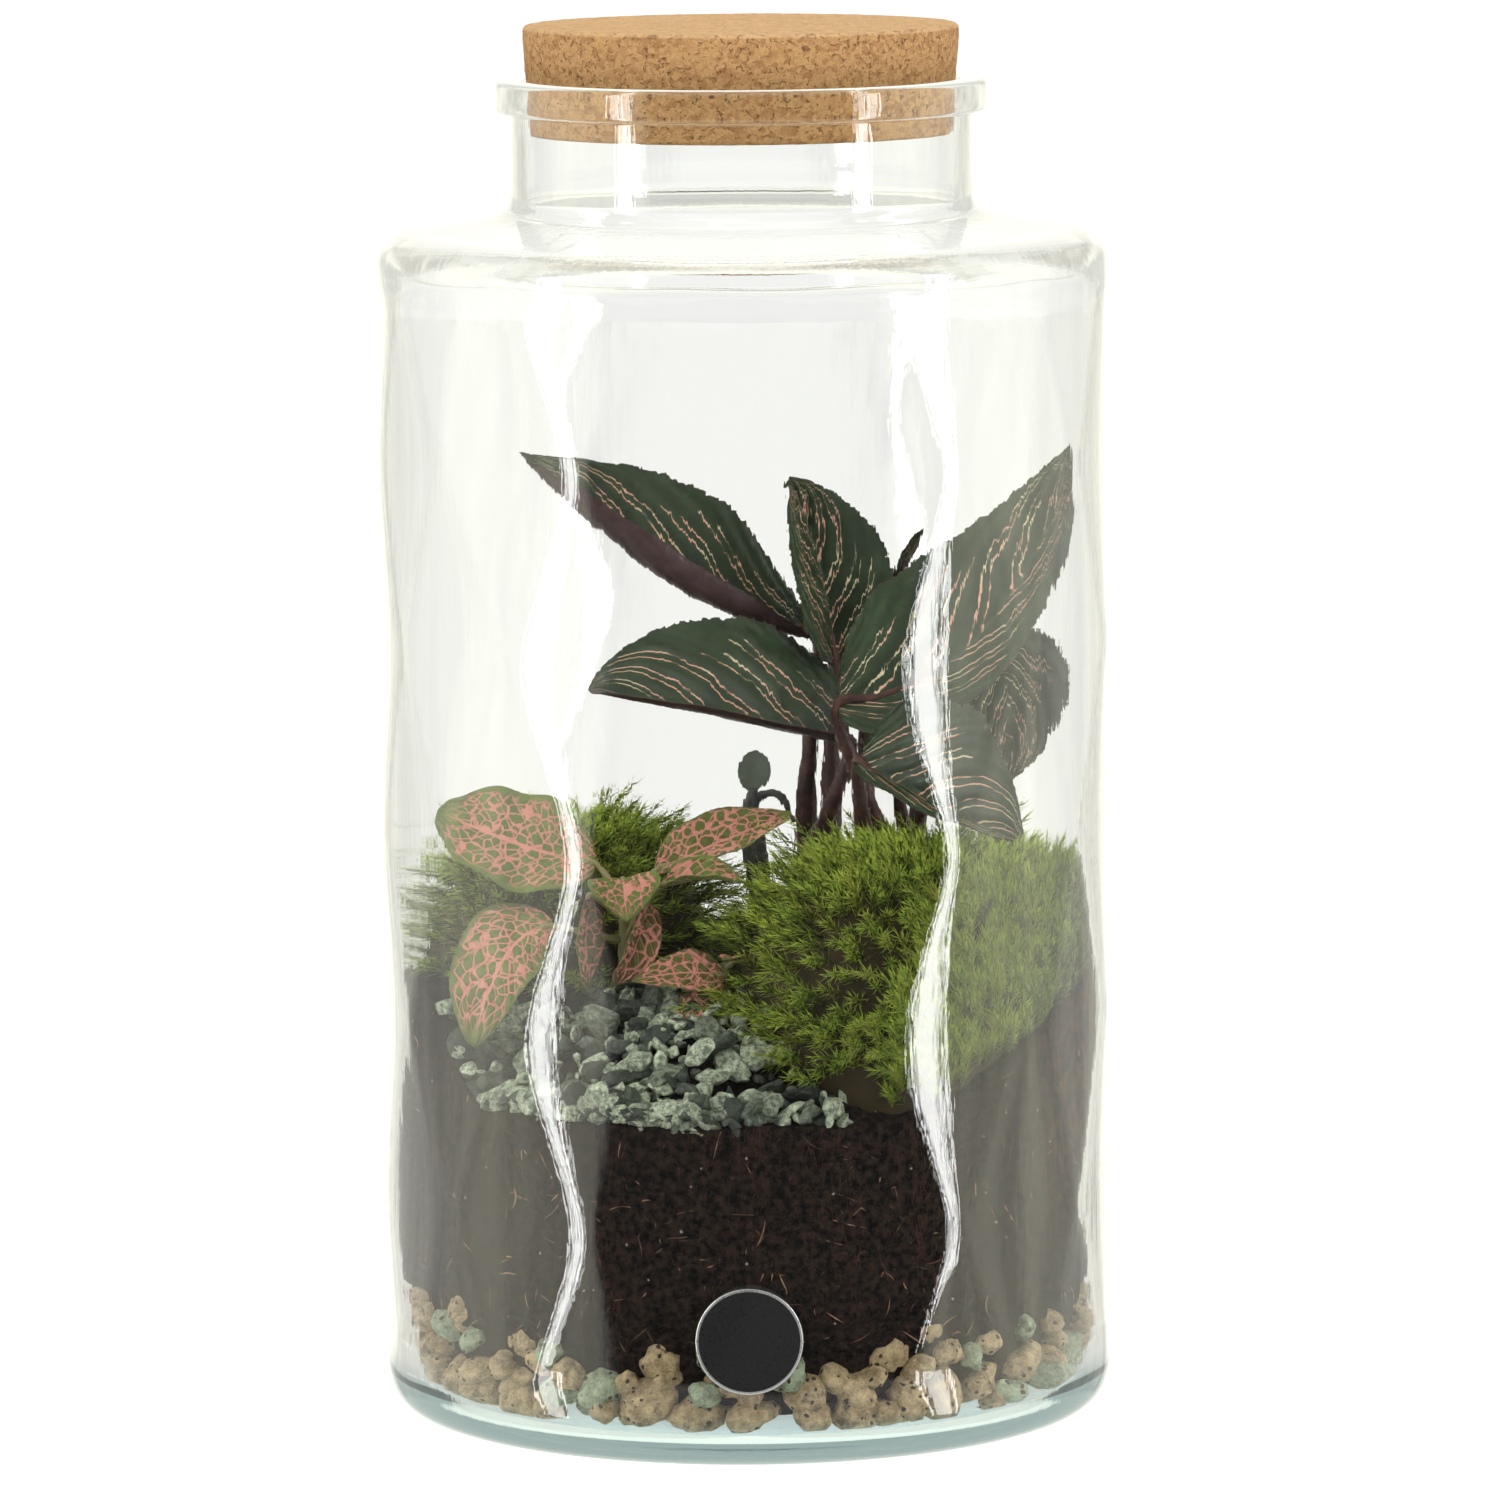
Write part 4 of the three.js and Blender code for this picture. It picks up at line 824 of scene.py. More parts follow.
def soil_finish(settings):
    """Damp dark soil: crumbs, fibres drawn as thin bands of a stretched, warped noise, a browner area at
    the right wall, and a few pale specks."""
    material, tree, shader = new_material("Potting soil", 0.9, Specular_IOR_Level=0.12)
    place = place_of(tree)
    light = [share * c for share, c in zip((2.5, 2.1, 1.9), settings.soil)]
    crumbs = mottled(tree, place, 620.0, 0.75, scaled(settings.soil, 0.25), light)
    so_far = crumbs.outputs["Color"]
    for turn, length_share in (((0.4, 0.2, 0.7), 5.0), ((1.3, 0.9, 0.1), 7.0), ((0.2, 1.1, 2.0), 6.0)):
        drawn = stretched(tree, place, (1.0, 1.0, 1.0 / length_share), turn)
        strands = noise(tree, drawn, 520.0)
        strands.inputs["Distortion"].default_value = 0.6
        thin = eased(tree, off_half(tree, strands.outputs[0]), 0.004, 0.012, 1.0, 0.0)
        patches = eased(tree, noise(tree, drawn, 60.0, 1.0).outputs[0], 0.52, 0.66, 0.0, 0.8)
        so_far = blended(tree, maths(tree, "MULTIPLY", thin, patches), so_far, settings.fibre)
    x, _, z = axes_of(tree, place)
    at_right = eased(tree, x, 58 * MM, 72 * MM)
    high_up = eased(tree, z, 35 * MM, 70 * MM)
    rough = eased(tree, noise(tree, place, 260.0, 5.0, 0.7).outputs[0], 0.4, 0.62)
    rooted = maths(tree, "MULTIPLY", maths(tree, "MULTIPLY", at_right, high_up), rough)
    so_far = blended(tree, rooted, so_far, settings.root)
    specks = grouped(tree, pits_group(), vector=place, scale=420.0, size=0.14, share=0.10)
    paint(tree, shader, blended(tree, specks.outputs["Mask"], so_far, (0.30, 0.27, 0.22)))
    raised(tree, shader, crumbs.outputs["Height"], 1.6)
    return material


def fibre_finish():
    """Rootlets and bark fibres, each of its own brown."""
    material, tree, shader = new_material("Soil fibre", 0.8)
    grain = mottled(tree, place_of(tree), 900.0, 0.4, (0.55, 0.5, 0.5), (1.2, 1.15, 1.1))
    brown = blended(tree, value_of(tree, "tone"), (0.06, 0.020, 0.011), (0.42, 0.25, 0.13))
    paint(tree, shader, multiplied(tree, brown, grain.outputs["Color"]))
    return material


def gravel_finish(settings):
    """Slate chips, each of its own tone between a light and a dark colour, which are partly painted light
    and shade; mottled, with pale veins and dark specks.
    """
    material, tree, shader = new_material("Slate chips", 0.5)
    place = place_of(tree)
    # The chips' tones are partly painted light and shade: light for lit tops, dark for shaded chips.
    tone = eased(tree, value_of(tree, "tone"), 0.15, 0.8)
    chip = blended(tree, tone, settings.chip_dark, settings.chip_light)
    veins = mottled(tree, place, 820.0, 0.7, (0.26, 0.30, 0.28), (1.6, 1.6, 1.5))
    coloured = multiplied(tree, chip, veins.outputs["Color"])
    specks = grouped(tree, pits_group(), vector=place, scale=900.0, size=0.3, share=0.3)
    dark = maths(tree, "MULTIPLY", specks.outputs["Mask"], 0.6)
    paint(tree, shader, blended(tree, dark, coloured, (0.03, 0.045, 0.04)))
    raised(tree, shader, veins.outputs["Height"], 0.5)
    return material


def moss_finish(settings):
    """Green from the dark base of each needle to its pale tip, partly the moss's own colour and partly
    painted shade low down and painted light at the tips, with some shoots yellower or browner; at the
    front the yellower shoots are partly a painted highlight.
    """
    material, tree, shader = new_material("Moss", 0.6, Specular_IOR_Level=0.25)
    tip, tone = value_of(tree, "tip"), value_of(tree, "tone")
    # From painted shade at the needles' feet to painted light at their tips, also partly the moss's own
    # colour; a high tone, which the front shoots get from painted light, makes them yellower.
    green = blended(tree, eased(tree, tip, 0.0, 1.0), settings.deep, settings.fresh_and_lit)
    yellow = blended(tree, eased(tree, tone, 0.6, 1.0, 0.0, 0.55), green, (0.40, 0.40, 0.07))
    brown = blended(tree, eased(tree, tone, 0.12, 0.0, 0.0, 0.85), yellow, (0.045, 0.026, 0.011))
    patches = mottled(tree, place_of(tree), 70.0, 0.4, (0.72, 0.76, 0.68), (1.25, 1.2, 1.1))
    paint(tree, shader, multiplied(tree, brown, patches.outputs["Color"]))
    return material


def striped_leaf_finish(settings):
    """Dark satin green; pairs of fine stripes leave the midrib towards the tip and fade before the margin.
    The underside is a dull purple-brown with faint ribs, and the petioles are dark."""
    material, tree, shader = new_material("Striped leaf", 0.42, Specular_IOR_Level=0.3)
    place = place_of(tree)
    along, across = value_of(tree, "along"), value_of(tree, "across")
    wander = noise(tree, place, 90.0, 1.0)
    jagged = noise(tree, place, 420.0)
    shifted = maths(tree, "MULTIPLY_ADD", maths(tree, "SUBTRACT", wander.outputs[0], 0.5), 0.12, along)
    shifted = maths(tree, "MULTIPLY_ADD", maths(tree, "SUBTRACT", jagged.outputs[0], 0.5), 0.030, shifted)
    bands = grouped(tree, chevron_group(), along=shifted, across=across, count=5.5, slant=0.62, power=1.15)
    fraction, whole, run = (bands.outputs[k] for k in ("Fraction", "Whole", "Run"))
    off_middle = off_half(tree, fraction)
    spread = maths(tree, "MULTIPLY_ADD", run, 0.05, 0.14)
    off_pair = maths(tree, "ABSOLUTE", maths(tree, "SUBTRACT", off_middle, spread))
    thin = eased(tree, off_pair, 0.020, 0.040, 1.0, 0.0)
    draw = add(tree, "ShaderNodeTexWhiteNoise", {"W": whole}, noise_dimensions="1D")
    reach = maths(tree, "MULTIPLY_ADD", draw.outputs["Value"], 0.35, 0.55)
    ends = maths(tree, "LESS_THAN", run, reach)
    strength = eased(tree, noise(tree, place, 240.0).outputs[0], 0.36, 0.5, 0.15, 1.0)
    stripes = maths(tree, "MULTIPLY", maths(tree, "MULTIPLY", thin, ends), strength)
    field = mottled_about(tree, place, 120.0, 0.2, settings.striped, 0.6, 1.9)
    feather = maths(tree, "MULTIPLY", eased(tree, off_middle, 0.12, 0.4, 0.5, 0.0), 0.6)
    upper = blended(tree, feather, field.outputs["Color"], (0.026, 0.048, 0.020))
    cream = eased(tree, wander.outputs[0], 0.52, 0.62)
    upper = blended(tree, stripes, upper, blended(tree, cream, settings.stripe, (0.66, 0.56, 0.36)))
    midrib = eased(tree, run, 0.012, 0.035, 0.6, 0.0)
    upper = blended(tree, midrib, upper, (0.05, 0.07, 0.035))
    margin = eased(tree, run, 0.975, 0.995, 0.0, 0.6)
    upper = blended(tree, margin, upper, (0.07, 0.035, 0.028))
    below = mottled_about(tree, place, 150.0, 0.2, settings.underside, 0.6, 1.6)
    ribs = eased(tree, off_middle, 0.0, 0.12, 0.35, 0.0)
    lower = blended(tree, ribs, below.outputs["Color"], (0.08, 0.042, 0.04))
    face = blended(tree, value_of(tree, "under"), upper, lower)
    stalk = mottled_about(tree, place, 220.0, 0.3, settings.petiole, 0.55, 1.8)
    paint(tree, shader, blended(tree, value_of(tree, "stalk"), face, stalk.outputs["Color"]))
    ridge = eased(tree, off_middle, 0.0, 0.5)
    raised(tree, shader, maths(tree, "MULTIPLY_ADD", field.outputs["Height"], 0.15, ridge), 0.25)
    return material


def veined_leaf_finish(settings):
    """Green, with side veins from the midrib and between them a net that follows the cells of a Voronoi
    pattern laid along the blade. A value blush makes the net denser and the green redder."""
    material, tree, shader = new_material("Veined leaf", 0.5, Specular_IOR_Level=0.25)
    along, across, blush = value_of(tree, "along"), value_of(tree, "across"), value_of(tree, "blush")
    bands = grouped(tree, chevron_group(), along=along, across=across, count=8.0, slant=0.30, power=1.2)
    run = bands.outputs["Run"]
    side_vein = eased(tree, off_half(tree, bands.outputs["Fraction"]), 0.03, 0.085, 1.0, 0.0)
    x = maths(tree, "MULTIPLY", along, value_of(tree, "length"))
    y = maths(tree, "MULTIPLY", across, value_of(tree, "width"))
    flat = add(tree, "ShaderNodeCombineXYZ", {0: x, 1: y, 2: blush}).outputs[0]
    warp = noise(tree, flat, 0.6)
    sockets = {0: warp.outputs["Color"], 1: (0.9, 0.9, 0.9), 2: flat}
    moved = add(tree, "ShaderNodeVectorMath", sockets, operation="MULTIPLY_ADD").outputs[0]
    net = add(tree, "ShaderNodeTexVoronoi", {"Vector": moved, "Scale": 0.36}, feature="DISTANCE_TO_EDGE")
    mesh_width = maths(tree, "MULTIPLY_ADD", blush, 0.05, 0.10)
    mesh = eased(tree, net.outputs["Distance"], 0.035, mesh_width, 1.0, 0.0)
    midrib = eased(tree, run, 0.025, 0.06, 1.0, 0.0)
    netted = maths(tree, "MAXIMUM", maths(tree, "MULTIPLY", side_vein, 0.85), mesh)
    veins = maths(tree, "MAXIMUM", netted, midrib)
    fade_start = maths(tree, "MULTIPLY_ADD", blush, 0.2, 0.72)
    fade_end = maths(tree, "MULTIPLY_ADD", blush, 0.2, 0.88)
    margin = eased(tree, run, fade_start, fade_end, 1.0, 0.0)
    tipwards = eased(tree, along, 0.86, 0.98, 1.0, 0.0)
    veins = maths(tree, "MULTIPLY", veins, maths(tree, "MULTIPLY", margin, tipwards))
    green = mottled_about(tree, place_of(tree), 160.0, 0.2, settings.net_leaf, 0.6, 1.5)
    field = blended(tree, maths(tree, "MULTIPLY", blush, 0.6), green.outputs["Color"], (0.085, 0.035, 0.02))
    upper = blended(tree, maths(tree, "MULTIPLY", veins, 0.92), field, settings.net)
    pale = blended(tree, 0.5, field, (0.22, 0.24, 0.10))
    lower = blended(tree, maths(tree, "MULTIPLY", veins, 0.35), pale, settings.net)
    face = blended(tree, value_of(tree, "under"), upper, lower)
    paint(tree, shader, blended(tree, value_of(tree, "stalk"), face, settings.stem))
    raised(tree, shader, maths(tree, "SUBTRACT", 1.0, veins), 0.35, 0.8)
    return material


def shoot_finish(settings):
    """The young shoot: dark, faintly ribbed stalks and a grey-green leaf."""
    material, tree, shader = new_material("Young shoot", 0.6)
    skin = mottled_about(tree, place_of(tree), 420.0, 0.4, settings.shoot, 0.5, 1.9)
    paint(tree, shader, blended(tree, value_of(tree, "stalk"), (0.10, 0.12, 0.085), skin.outputs["Color"]))
    raised(tree, shader, skin.outputs["Height"], 0.4)
    return material


# ---------------------------------------------------------------- the jar, its cork and its label


def relief_ends(z):
    """One on the wall, eased to nought near the heel and the shoulder."""
    return smoothstep(z, HEEL_FILLET, HEEL_FILLET + 6) * (1 - smoothstep(z, WALL_TOP - 9, WALL_TOP - 1))


def relief_at(angle, z, settings):
    """Lozenges between two families of slanting ridges. Each family follows the angle round the jar times
    the number of columns, plus or less the height in rows; a ridge is one less twice the rounded size of
    the sine of half of that. The mean of both, sunk so that the ridges keep to the jar's width, is eased
    out at both ends."""
    turn, lowest, rounding = math.radians(-40), 9.8, 0.16
    around = settings.relief_columns * (angle - turn)
    upwards = 2 * np.pi * (z - lowest) / (settings.relief_row / MM)
    phases = np.stack([around + upwards, around - upwards])
    lozenges = (1 - 2 * np.sqrt(np.sin(0.5 * phases) ** 2 + rounding**2)).mean(0)
    return settings.relief_depth / MM * (lozenges - RELIEF_SUNK) * relief_ends(z)


def shoulder_z(radius):
    """The height of the sloping shoulder at a radius."""
    share = (BODY_RADIUS - radius) / (BODY_RADIUS - NECK_RADIUS)
    return SHOULDER_EDGE_Z + share * (SHOULDER_TOP_Z - SHOULDER_EDGE_Z)


def jar_profile():
    """From the axis below the base, up the outside, over the rim and down the inside to the axis. Each row
    is a bend (its start, corner and end), its pieces, and the pieces of the straight run after it."""
    body, inner, neck, rim, bore = BODY_RADIUS, BODY_RADIUS - WALL, NECK_RADIUS, RIM_RADIUS, BORE_RADIUS
    top, flange, edge = JAR_HEIGHT, JAR_HEIGHT - RIM_HEIGHT, RIM_ROUND

    def cone(radius, below=0):
        return radius, shoulder_z(radius) - below

    bends = (
        ((body - HEEL_FILLET, 0), (body, 0), (body, HEEL_FILLET), 16, 72),
        ((body, WALL_TOP), (body, SHOULDER_EDGE_Z), cone(body - SHOULDER_FILLET), 12, 5),
        (cone(neck + NECK_FILLET), (neck, SHOULDER_TOP_Z), (neck, SHOULDER_TOP_Z + NECK_FILLET), 8, 4),
        ((neck, flange - FLANGE_FILLET), (neck, flange), (neck + FLANGE_FILLET, flange), 4, 2),
        ((rim - edge, flange), (rim, flange), (rim, flange + edge), 7, 3),
        ((rim, top - edge), (rim, top), (rim - edge, top), 7, 3),
        ((bore + edge, top), (bore, top), (bore, top - edge), 7, 6),
        ((bore, cone(bore, WALL)[1] + NECK_FILLET), cone(bore, WALL), cone(bore + NECK_FILLET, WALL), 8, 5),
        (cone(inner - SHOULDER_FILLET, WALL), cone(inner, WALL), (inner, WALL_TOP - WALL), 10, 58),
        ((inner, BASE + FLOOR_FILLET), (inner, BASE), (inner - FLOOR_FILLET, BASE), 12, 6),
    )
    runs_end = [row[0] for row in bends[1:]] + [(0, BASE)]
    points = [line((0, 0), bends[0][0], 6)]
    for (start, corner, end, pieces, run_pieces), following in zip(bends, runs_end):
        points += [bend(start, corner, end, pieces), line(end, following, run_pieces)]
    return np.concatenate([*points, runs_end[-1:]])


class TERRARIUM_OT_jar(bpy.types.Operator):
    """The glass jar: its profile turned about the axis, with the lozenges added to both faces of the wall,
    as in a mould-blown jar, so that the wall's thickness stays even."""

    bl_idname = "terrarium.jar"
    bl_label = "Glass jar"

    def execute(self, context):
        settings = context.scene.terrarium_jar

        def offset(angle, z, radius):
            relief = relief_at(angle, z, settings)
            deepest = (1 + RELIEF_SUNK) * settings.relief_depth / MM * relief_ends(z)
            outer = (radius > BODY_RADIUS - NEAR) & (z > HEEL_FILLET)
            inner = (abs(radius - BODY_RADIUS + WALL) < NEAR) & (z > BASE + FLOOR_FILLET)
            return np.where(outer, relief, 0) + np.where(inner, relief + deepest, 0)

        shape = turned(jar_profile(), sides=384, offset=offset)
        make_piece("jar_glass", shape, glass_finish(settings), ["glass_jar"])
        return {"FINISHED"}


class TERRARIUM_OT_cork(bpy.types.Operator):
    """The stopper: a tapered profile with rounded edges, turned, its faces roughened by small lumps."""

    bl_idname = "terrarium.cork"
    bl_label = "Cork stopper"

    def execute(self, context):
        top, seat, bottom = CORK["top"], CORK["seat"], CORK["bottom"]
        top_z, bottom_z, edge = CORK["top_z"], CORK["bottom_z"], CORK["edge"]
        profile = np.concatenate([
            line((0, bottom_z), (bottom - edge, bottom_z), 14),
            bend((bottom - edge, bottom_z), (bottom, bottom_z), (bottom, bottom_z + edge), 5),
            line((bottom, bottom_z + edge), (seat, JAR_HEIGHT), 10),
            line((seat, JAR_HEIGHT), (top, top_z - edge), 12),
            bend((top, top_z - edge), (top, top_z), (top - edge, top_z), 6),
            line((top - edge, top_z), (0, top_z), 36),
            [(0, top_z)],
        ])
        shape = turned(profile, sides=224)
        inward = unit(shape.points - [0, 0, 0.5 * (top_z + bottom_z)])
        shape.points -= inward * (0.16 + 0.09 * lumps(shape.points, 4.5, seed=3))[:, None]
        finish = cork_finish(context.scene.terrarium_jar)
        make_piece("cork", shape, finish, ["cork_stopper"])
        return {"FINISHED"}


class TERRARIUM_OT_label(bpy.types.Operator):
    """The round label: a disc of rings, each point wrapped onto the wall and its lozenges. The face is
    rounded off at the edge."""

    bl_idname = "terrarium.label"
    bl_label = "Round label"

    def execute(self, context):
        settings = context.scene.terrarium_jar
        run = np.concatenate([np.linspace(0.02, 0.9, 14), np.linspace(0.92, 1, 9)])[:, None]
        turn = turns(72)[None, :]
        across, up = LABEL["radius"] * run * np.sin(turn), LABEL["radius"] * run * np.cos(turn)
        angle, z = across / BODY_RADIUS, LABEL["centre_z"] + up
        wall = BODY_RADIUS + relief_at(angle, z, settings)
        past_flat = np.maximum(0, (run - 0.97) / 0.03)
        rounded = LABEL["thickness"] * np.sqrt(np.clip(1 - past_flat**2, 0.05, 1))
        front, back = about_axis(angle, wall + GAP + rounded, z), about_axis(angle, wall + GAP, z)
        rings = np.concatenate([front, back[::-1]])
        runs = np.concatenate([run[:, 0], run[::-1, 0]])
        shape = closed_rings(rings, front[0].mean(0), back[0].mean(0), run=runs)
        make_piece("label", shape, label_finish(settings), ["label_disc"])
        return {"FINISHED"}


# ---------------------------------------------------------------- granules, soil and gravel


def ball(level):
    """A twenty-sided body, each face split in four and pushed out to the unit sphere, level times."""
    golden = (1 + math.sqrt(5)) / 2
    points = unit(np.array([
        (-1, golden, 0), (1, golden, 0), (-1, -golden, 0), (1, -golden, 0), (0, -1, golden), (0, 1, golden),
        (0, -1, -golden), (0, 1, -golden), (golden, 0, -1), (golden, 0, 1), (-golden, 0, -1), (-golden, 0, 1),
    ], float))
    faces = np.array([
        (0, 11, 5), (0, 5, 1), (0, 1, 7), (0, 7, 10), (0, 10, 11), (1, 5, 9), (5, 11, 4), (11, 10, 2),
        (10, 7, 6), (7, 1, 8), (3, 9, 4), (3, 4, 2), (3, 2, 6), (3, 6, 8), (3, 8, 9), (4, 9, 5),
        (2, 4, 11), (6, 2, 10), (8, 6, 7), (9, 8, 1),
    ])
    for _ in range(level):
        corners = points[faces]
        middles = unit(corners + np.roll(corners, -1, 1))
        loose = np.concatenate([corners, middles], 1)
        split = np.array([(0, 3, 5), (3, 1, 4), (5, 4, 2), (3, 4, 5)])
        every = loose[:, split].reshape(-1, 3)
        points, number = np.unique(every.round(6), axis=0, return_inverse=True)
        points = unit(points)
        faces = number.reshape(-1, 3)
    return points, faces


def stones(centres, sizes, seed, level, flatness, cuts, depth, roughness):
    """Stones: balls, each cut flat by random planes (a point beyond a plane is moved back onto it),
    stretched along random axes and roughened by small lumps. Each has a tone of its own."""
    rng = np.random.default_rng(seed)
    centres, sizes = np.asarray(centres)[:, None], np.asarray(sizes)[:, None, None]
    count = len(centres)
    points, faces = ball(level)
    placed = np.repeat(points[None], count, 0)
    for _ in range(cuts):
        normal = unit(rng.normal(size=(count, 3)))
        limit = rng.uniform(*depth, size=(count, 1))
        beyond = np.maximum(0, np.einsum("svc,sc->sv", placed, normal) - limit)
        placed -= beyond[..., None] * normal[:, None]
    lengths = [rng.uniform(*reach, count) for reach in ((0.9, 1.45), (0.7, 1.0), flatness)]
    placed *= np.stack(lengths, -1)[:, None]
    first = unit(rng.normal(size=(count, 3)) * (1, 1, 0.6))
    second = unit(np.cross(first, rng.normal(size=(count, 3))))
    turn = np.stack([first, second, np.cross(first, second)], 1)
    placed = np.einsum("svc,sck->svk", placed, turn) * sizes
    placed += centres
    rough = roughness * lumps(placed, 3.2, seed=seed + 1)
    placed += unit(placed - centres) * rough[..., None] * sizes
    numbers = faces[None] + (np.arange(count) * len(points))[:, None, None]
    tone = np.repeat(rng.uniform(size=count), len(points))
    return Shape(placed, [numbers.reshape(-1, 3)], tone=tone)


def soil_top(x, y):
    """The soil's surface: level at the back, falling towards the front wall between two angles."""
    angle = np.degrees(np.arctan2(x, -y))
    left = smoothstep(angle, *SOIL_FALL_LEFT)
    right = 1 - smoothstep(angle, *SOIL_FALL_RIGHT)
    down = smoothstep(np.hypot(x, y), SOIL_FALL_START, BODY_RADIUS)
    return SOIL_TOP - SOIL_FALL * left * right * down + 0.8 * np.sin(0.17 * x + 0.6) * np.cos(0.15 * y)


def soil_height(x, y):
    """The height of the soil's surface at one place, as a number."""
    return float(soil_top(np.array(float(x)), np.array(float(y))))


class TERRARIUM_OT_granules(bpy.types.Operator):
    """Clay granules against the wall in rings, and the soil that fills the space between them."""

    bl_idname = "terrarium.granules"
    bl_label = "Clay granules"

    def execute(self, context):
        settings = context.scene.terrarium_filling
        rng = np.random.default_rng(7)
        per_ring = GRANULES["per_ring"]
        size = settings.granule / MM
        floor = BASE + GAP
        centres, sizes = [], []
        for ring, (height, share, inwards) in enumerate(GRANULES["rings"]):
            place = np.arange(per_ring) + 0.5 * ring + rng.uniform(-0.25, 0.25, per_ring)
            own = size * rng.uniform(0.62, 1.2, per_ring)
            radius = INSIDE - 0.9 * own - rng.uniform(0, 1.2, per_ring) - inwards
            z = np.maximum(height + rng.uniform(-1.6, 1.6, per_ring), floor + 0.8 * own)
            kept = rng.uniform(size=per_ring) < share
            centres.append(about_axis(2 * np.pi * place / per_ring, radius, z)[kept])
            sizes.append(own[kept])
        centres, sizes = np.concatenate(centres), np.concatenate(sizes)
        shape = stones(
            centres, sizes, seed=11, level=2,
            flatness=(0.68, 0.98), cuts=10, depth=(0.66, 0.95), roughness=0.06,
        )
        shape.points[:, 2] = np.clip(shape.points[:, 2], floor, None)
        make_piece("clay_granules", inside_glass(shape), clay_finish(settings), ["drainage_granules"])
        foot, side = GRANULES["bed_foot"], GRANULES["bed_side"]
        bed = np.concatenate([
            line((0, floor), (foot, floor), 8),
            bend((foot, floor), (foot + 1, floor + 6), (side, floor + 7), 8),
            bend((side, floor + 7), (side + 1, floor + 12), (side + 2.5, SOIL_BOTTOM), 10),
            [(side + 2.5, SOIL_BOTTOM), (0, SOIL_BOTTOM)],
        ])
        packed = turned(bed, sides=180)
        packed.points[:, :2] *= 1 - 0.006 * np.abs(lumps(packed.points, 9.0, seed=22))[:, None]
        make_piece("granule_bed", inside_glass(packed), soil_finish(settings))
        return {"FINISHED"}


class TERRARIUM_OT_soil(bpy.types.Operator):
    """Potting soil: its surface on rings about the axis, closed by the wall and the underside, with
    crumbs as lumps, and drawn in a little at the foot of the wall; and fibres as thin rods on the wall."""

    bl_idname = "terrarium.soil"
    bl_label = "Potting soil"

    def execute(self, context):
        settings = context.scene.terrarium_filling
        finish = soil_finish(settings)
        angle = turns(480)
        radius = np.linspace(1.2, INSIDE, 64)[:, None]
        x, y = radius * np.sin(angle), -radius * np.cos(angle)
        z = soil_top(x, y)
        top = np.stack([x, y, z], -1)
        top[..., 2] += 0.55 * lumps(top, 5.5, seed=21) * (1 - smoothstep(radius, 74, INSIDE))
        down = np.linspace(0, 1, 110)[1:, None]
        wall_z = z[-1] * (1 - down) + SOIL_BOTTOM * down
        wall = about_axis(angle, INSIDE, wall_z)
        broad = np.abs(lumps(wall, 9.0, seed=22))
        fine = np.clip(lumps(wall, 3.0, seed=26, layers=2), 0, None)
        crumbs = 0.15 * broad + 0.25 * fine
        edge = SOIL_BOTTOM + 3 + 2.5 * lumps(wall, 16.0, seed=27, layers=2)
        pulled_in = 3.0 * (1 - smoothstep(wall_z - edge, 0, 5.5))
        wall[..., :2] *= 1 - ((crumbs + pulled_in) / INSIDE)[..., None]
        rings = np.concatenate([top, wall])[::-1]
        shape = closed_rings(rings, (0, 0, SOIL_BOTTOM), (0, 0, soil_height(0.0, -0.01)))
        make_piece("soil", shape, finish, ["potting_soil"])
        make_piece("soil_fibres", self.fibres(), fibre_finish())
        return {"FINISHED"}

    def fibres(self):
        """Thin bent rods that lie on the wall, each from a random place in a random direction."""
        rng = np.random.default_rng(5)
        rods = []
        count, shortest = 720, 0.8
        for _ in range(count):
            angle, turn = rng.uniform(0, 2 * np.pi), rng.uniform(0, 2 * np.pi)
            size = rng.uniform(2.0, 9.0) * rng.uniform(0.5, 1.3)
            s = np.linspace(-0.5, 0.5, 6)
            drift = rng.normal(0, 0.35)
            u = size * (s * np.cos(turn) + drift * s * s * np.sin(turn))
            w = size * (s * np.sin(turn) - drift * s * s * np.cos(turn))
            highest = soil_height(INSIDE * np.sin(angle), -INSIDE * np.cos(angle))
            z = np.clip(rng.uniform(SOIL_BOTTOM + 1, highest - 1) + w, SOIL_BOTTOM, highest)
            radius = INSIDE - 0.15 - rng.uniform(0, 0.25)
            path = about_axis(angle + u / radius, radius, z)
            if np.ptp(path, 0).max() < shortest:
                continue
            taper = np.interp(s, (-0.5, 0, 0.5), (0.05, 1, 0.05))
            rod = tube(path, taper * rng.uniform(0.10, 0.26), sides=4)
            rod.values["tone"] = np.full(len(rod.points), rng.uniform() ** 1.5)
            rods.append(rod)
        return inside_glass(joined(rods))


def heap_share(x, y):
    """Nought in the middle of the heap and one on its edge."""
    turn = math.radians(GRAVEL["turn"])
    dx, dy = x - GRAVEL["x"], y - GRAVEL["y"]
    run = (math.cos(turn) * dx + math.sin(turn) * dy) / GRAVEL["length"]
    rise = (math.cos(turn) * dy - math.sin(turn) * dx) / GRAVEL["width"]
    return np.hypot(run, rise)


def heap_top(x, y):
    """The heap's surface: the soil's, raised towards the middle of the heap."""
    return soil_top(x, y) + 0.5 + GRAVEL["rise"] * np.maximum(0, 1 - heap_share(x, y) ** 2)


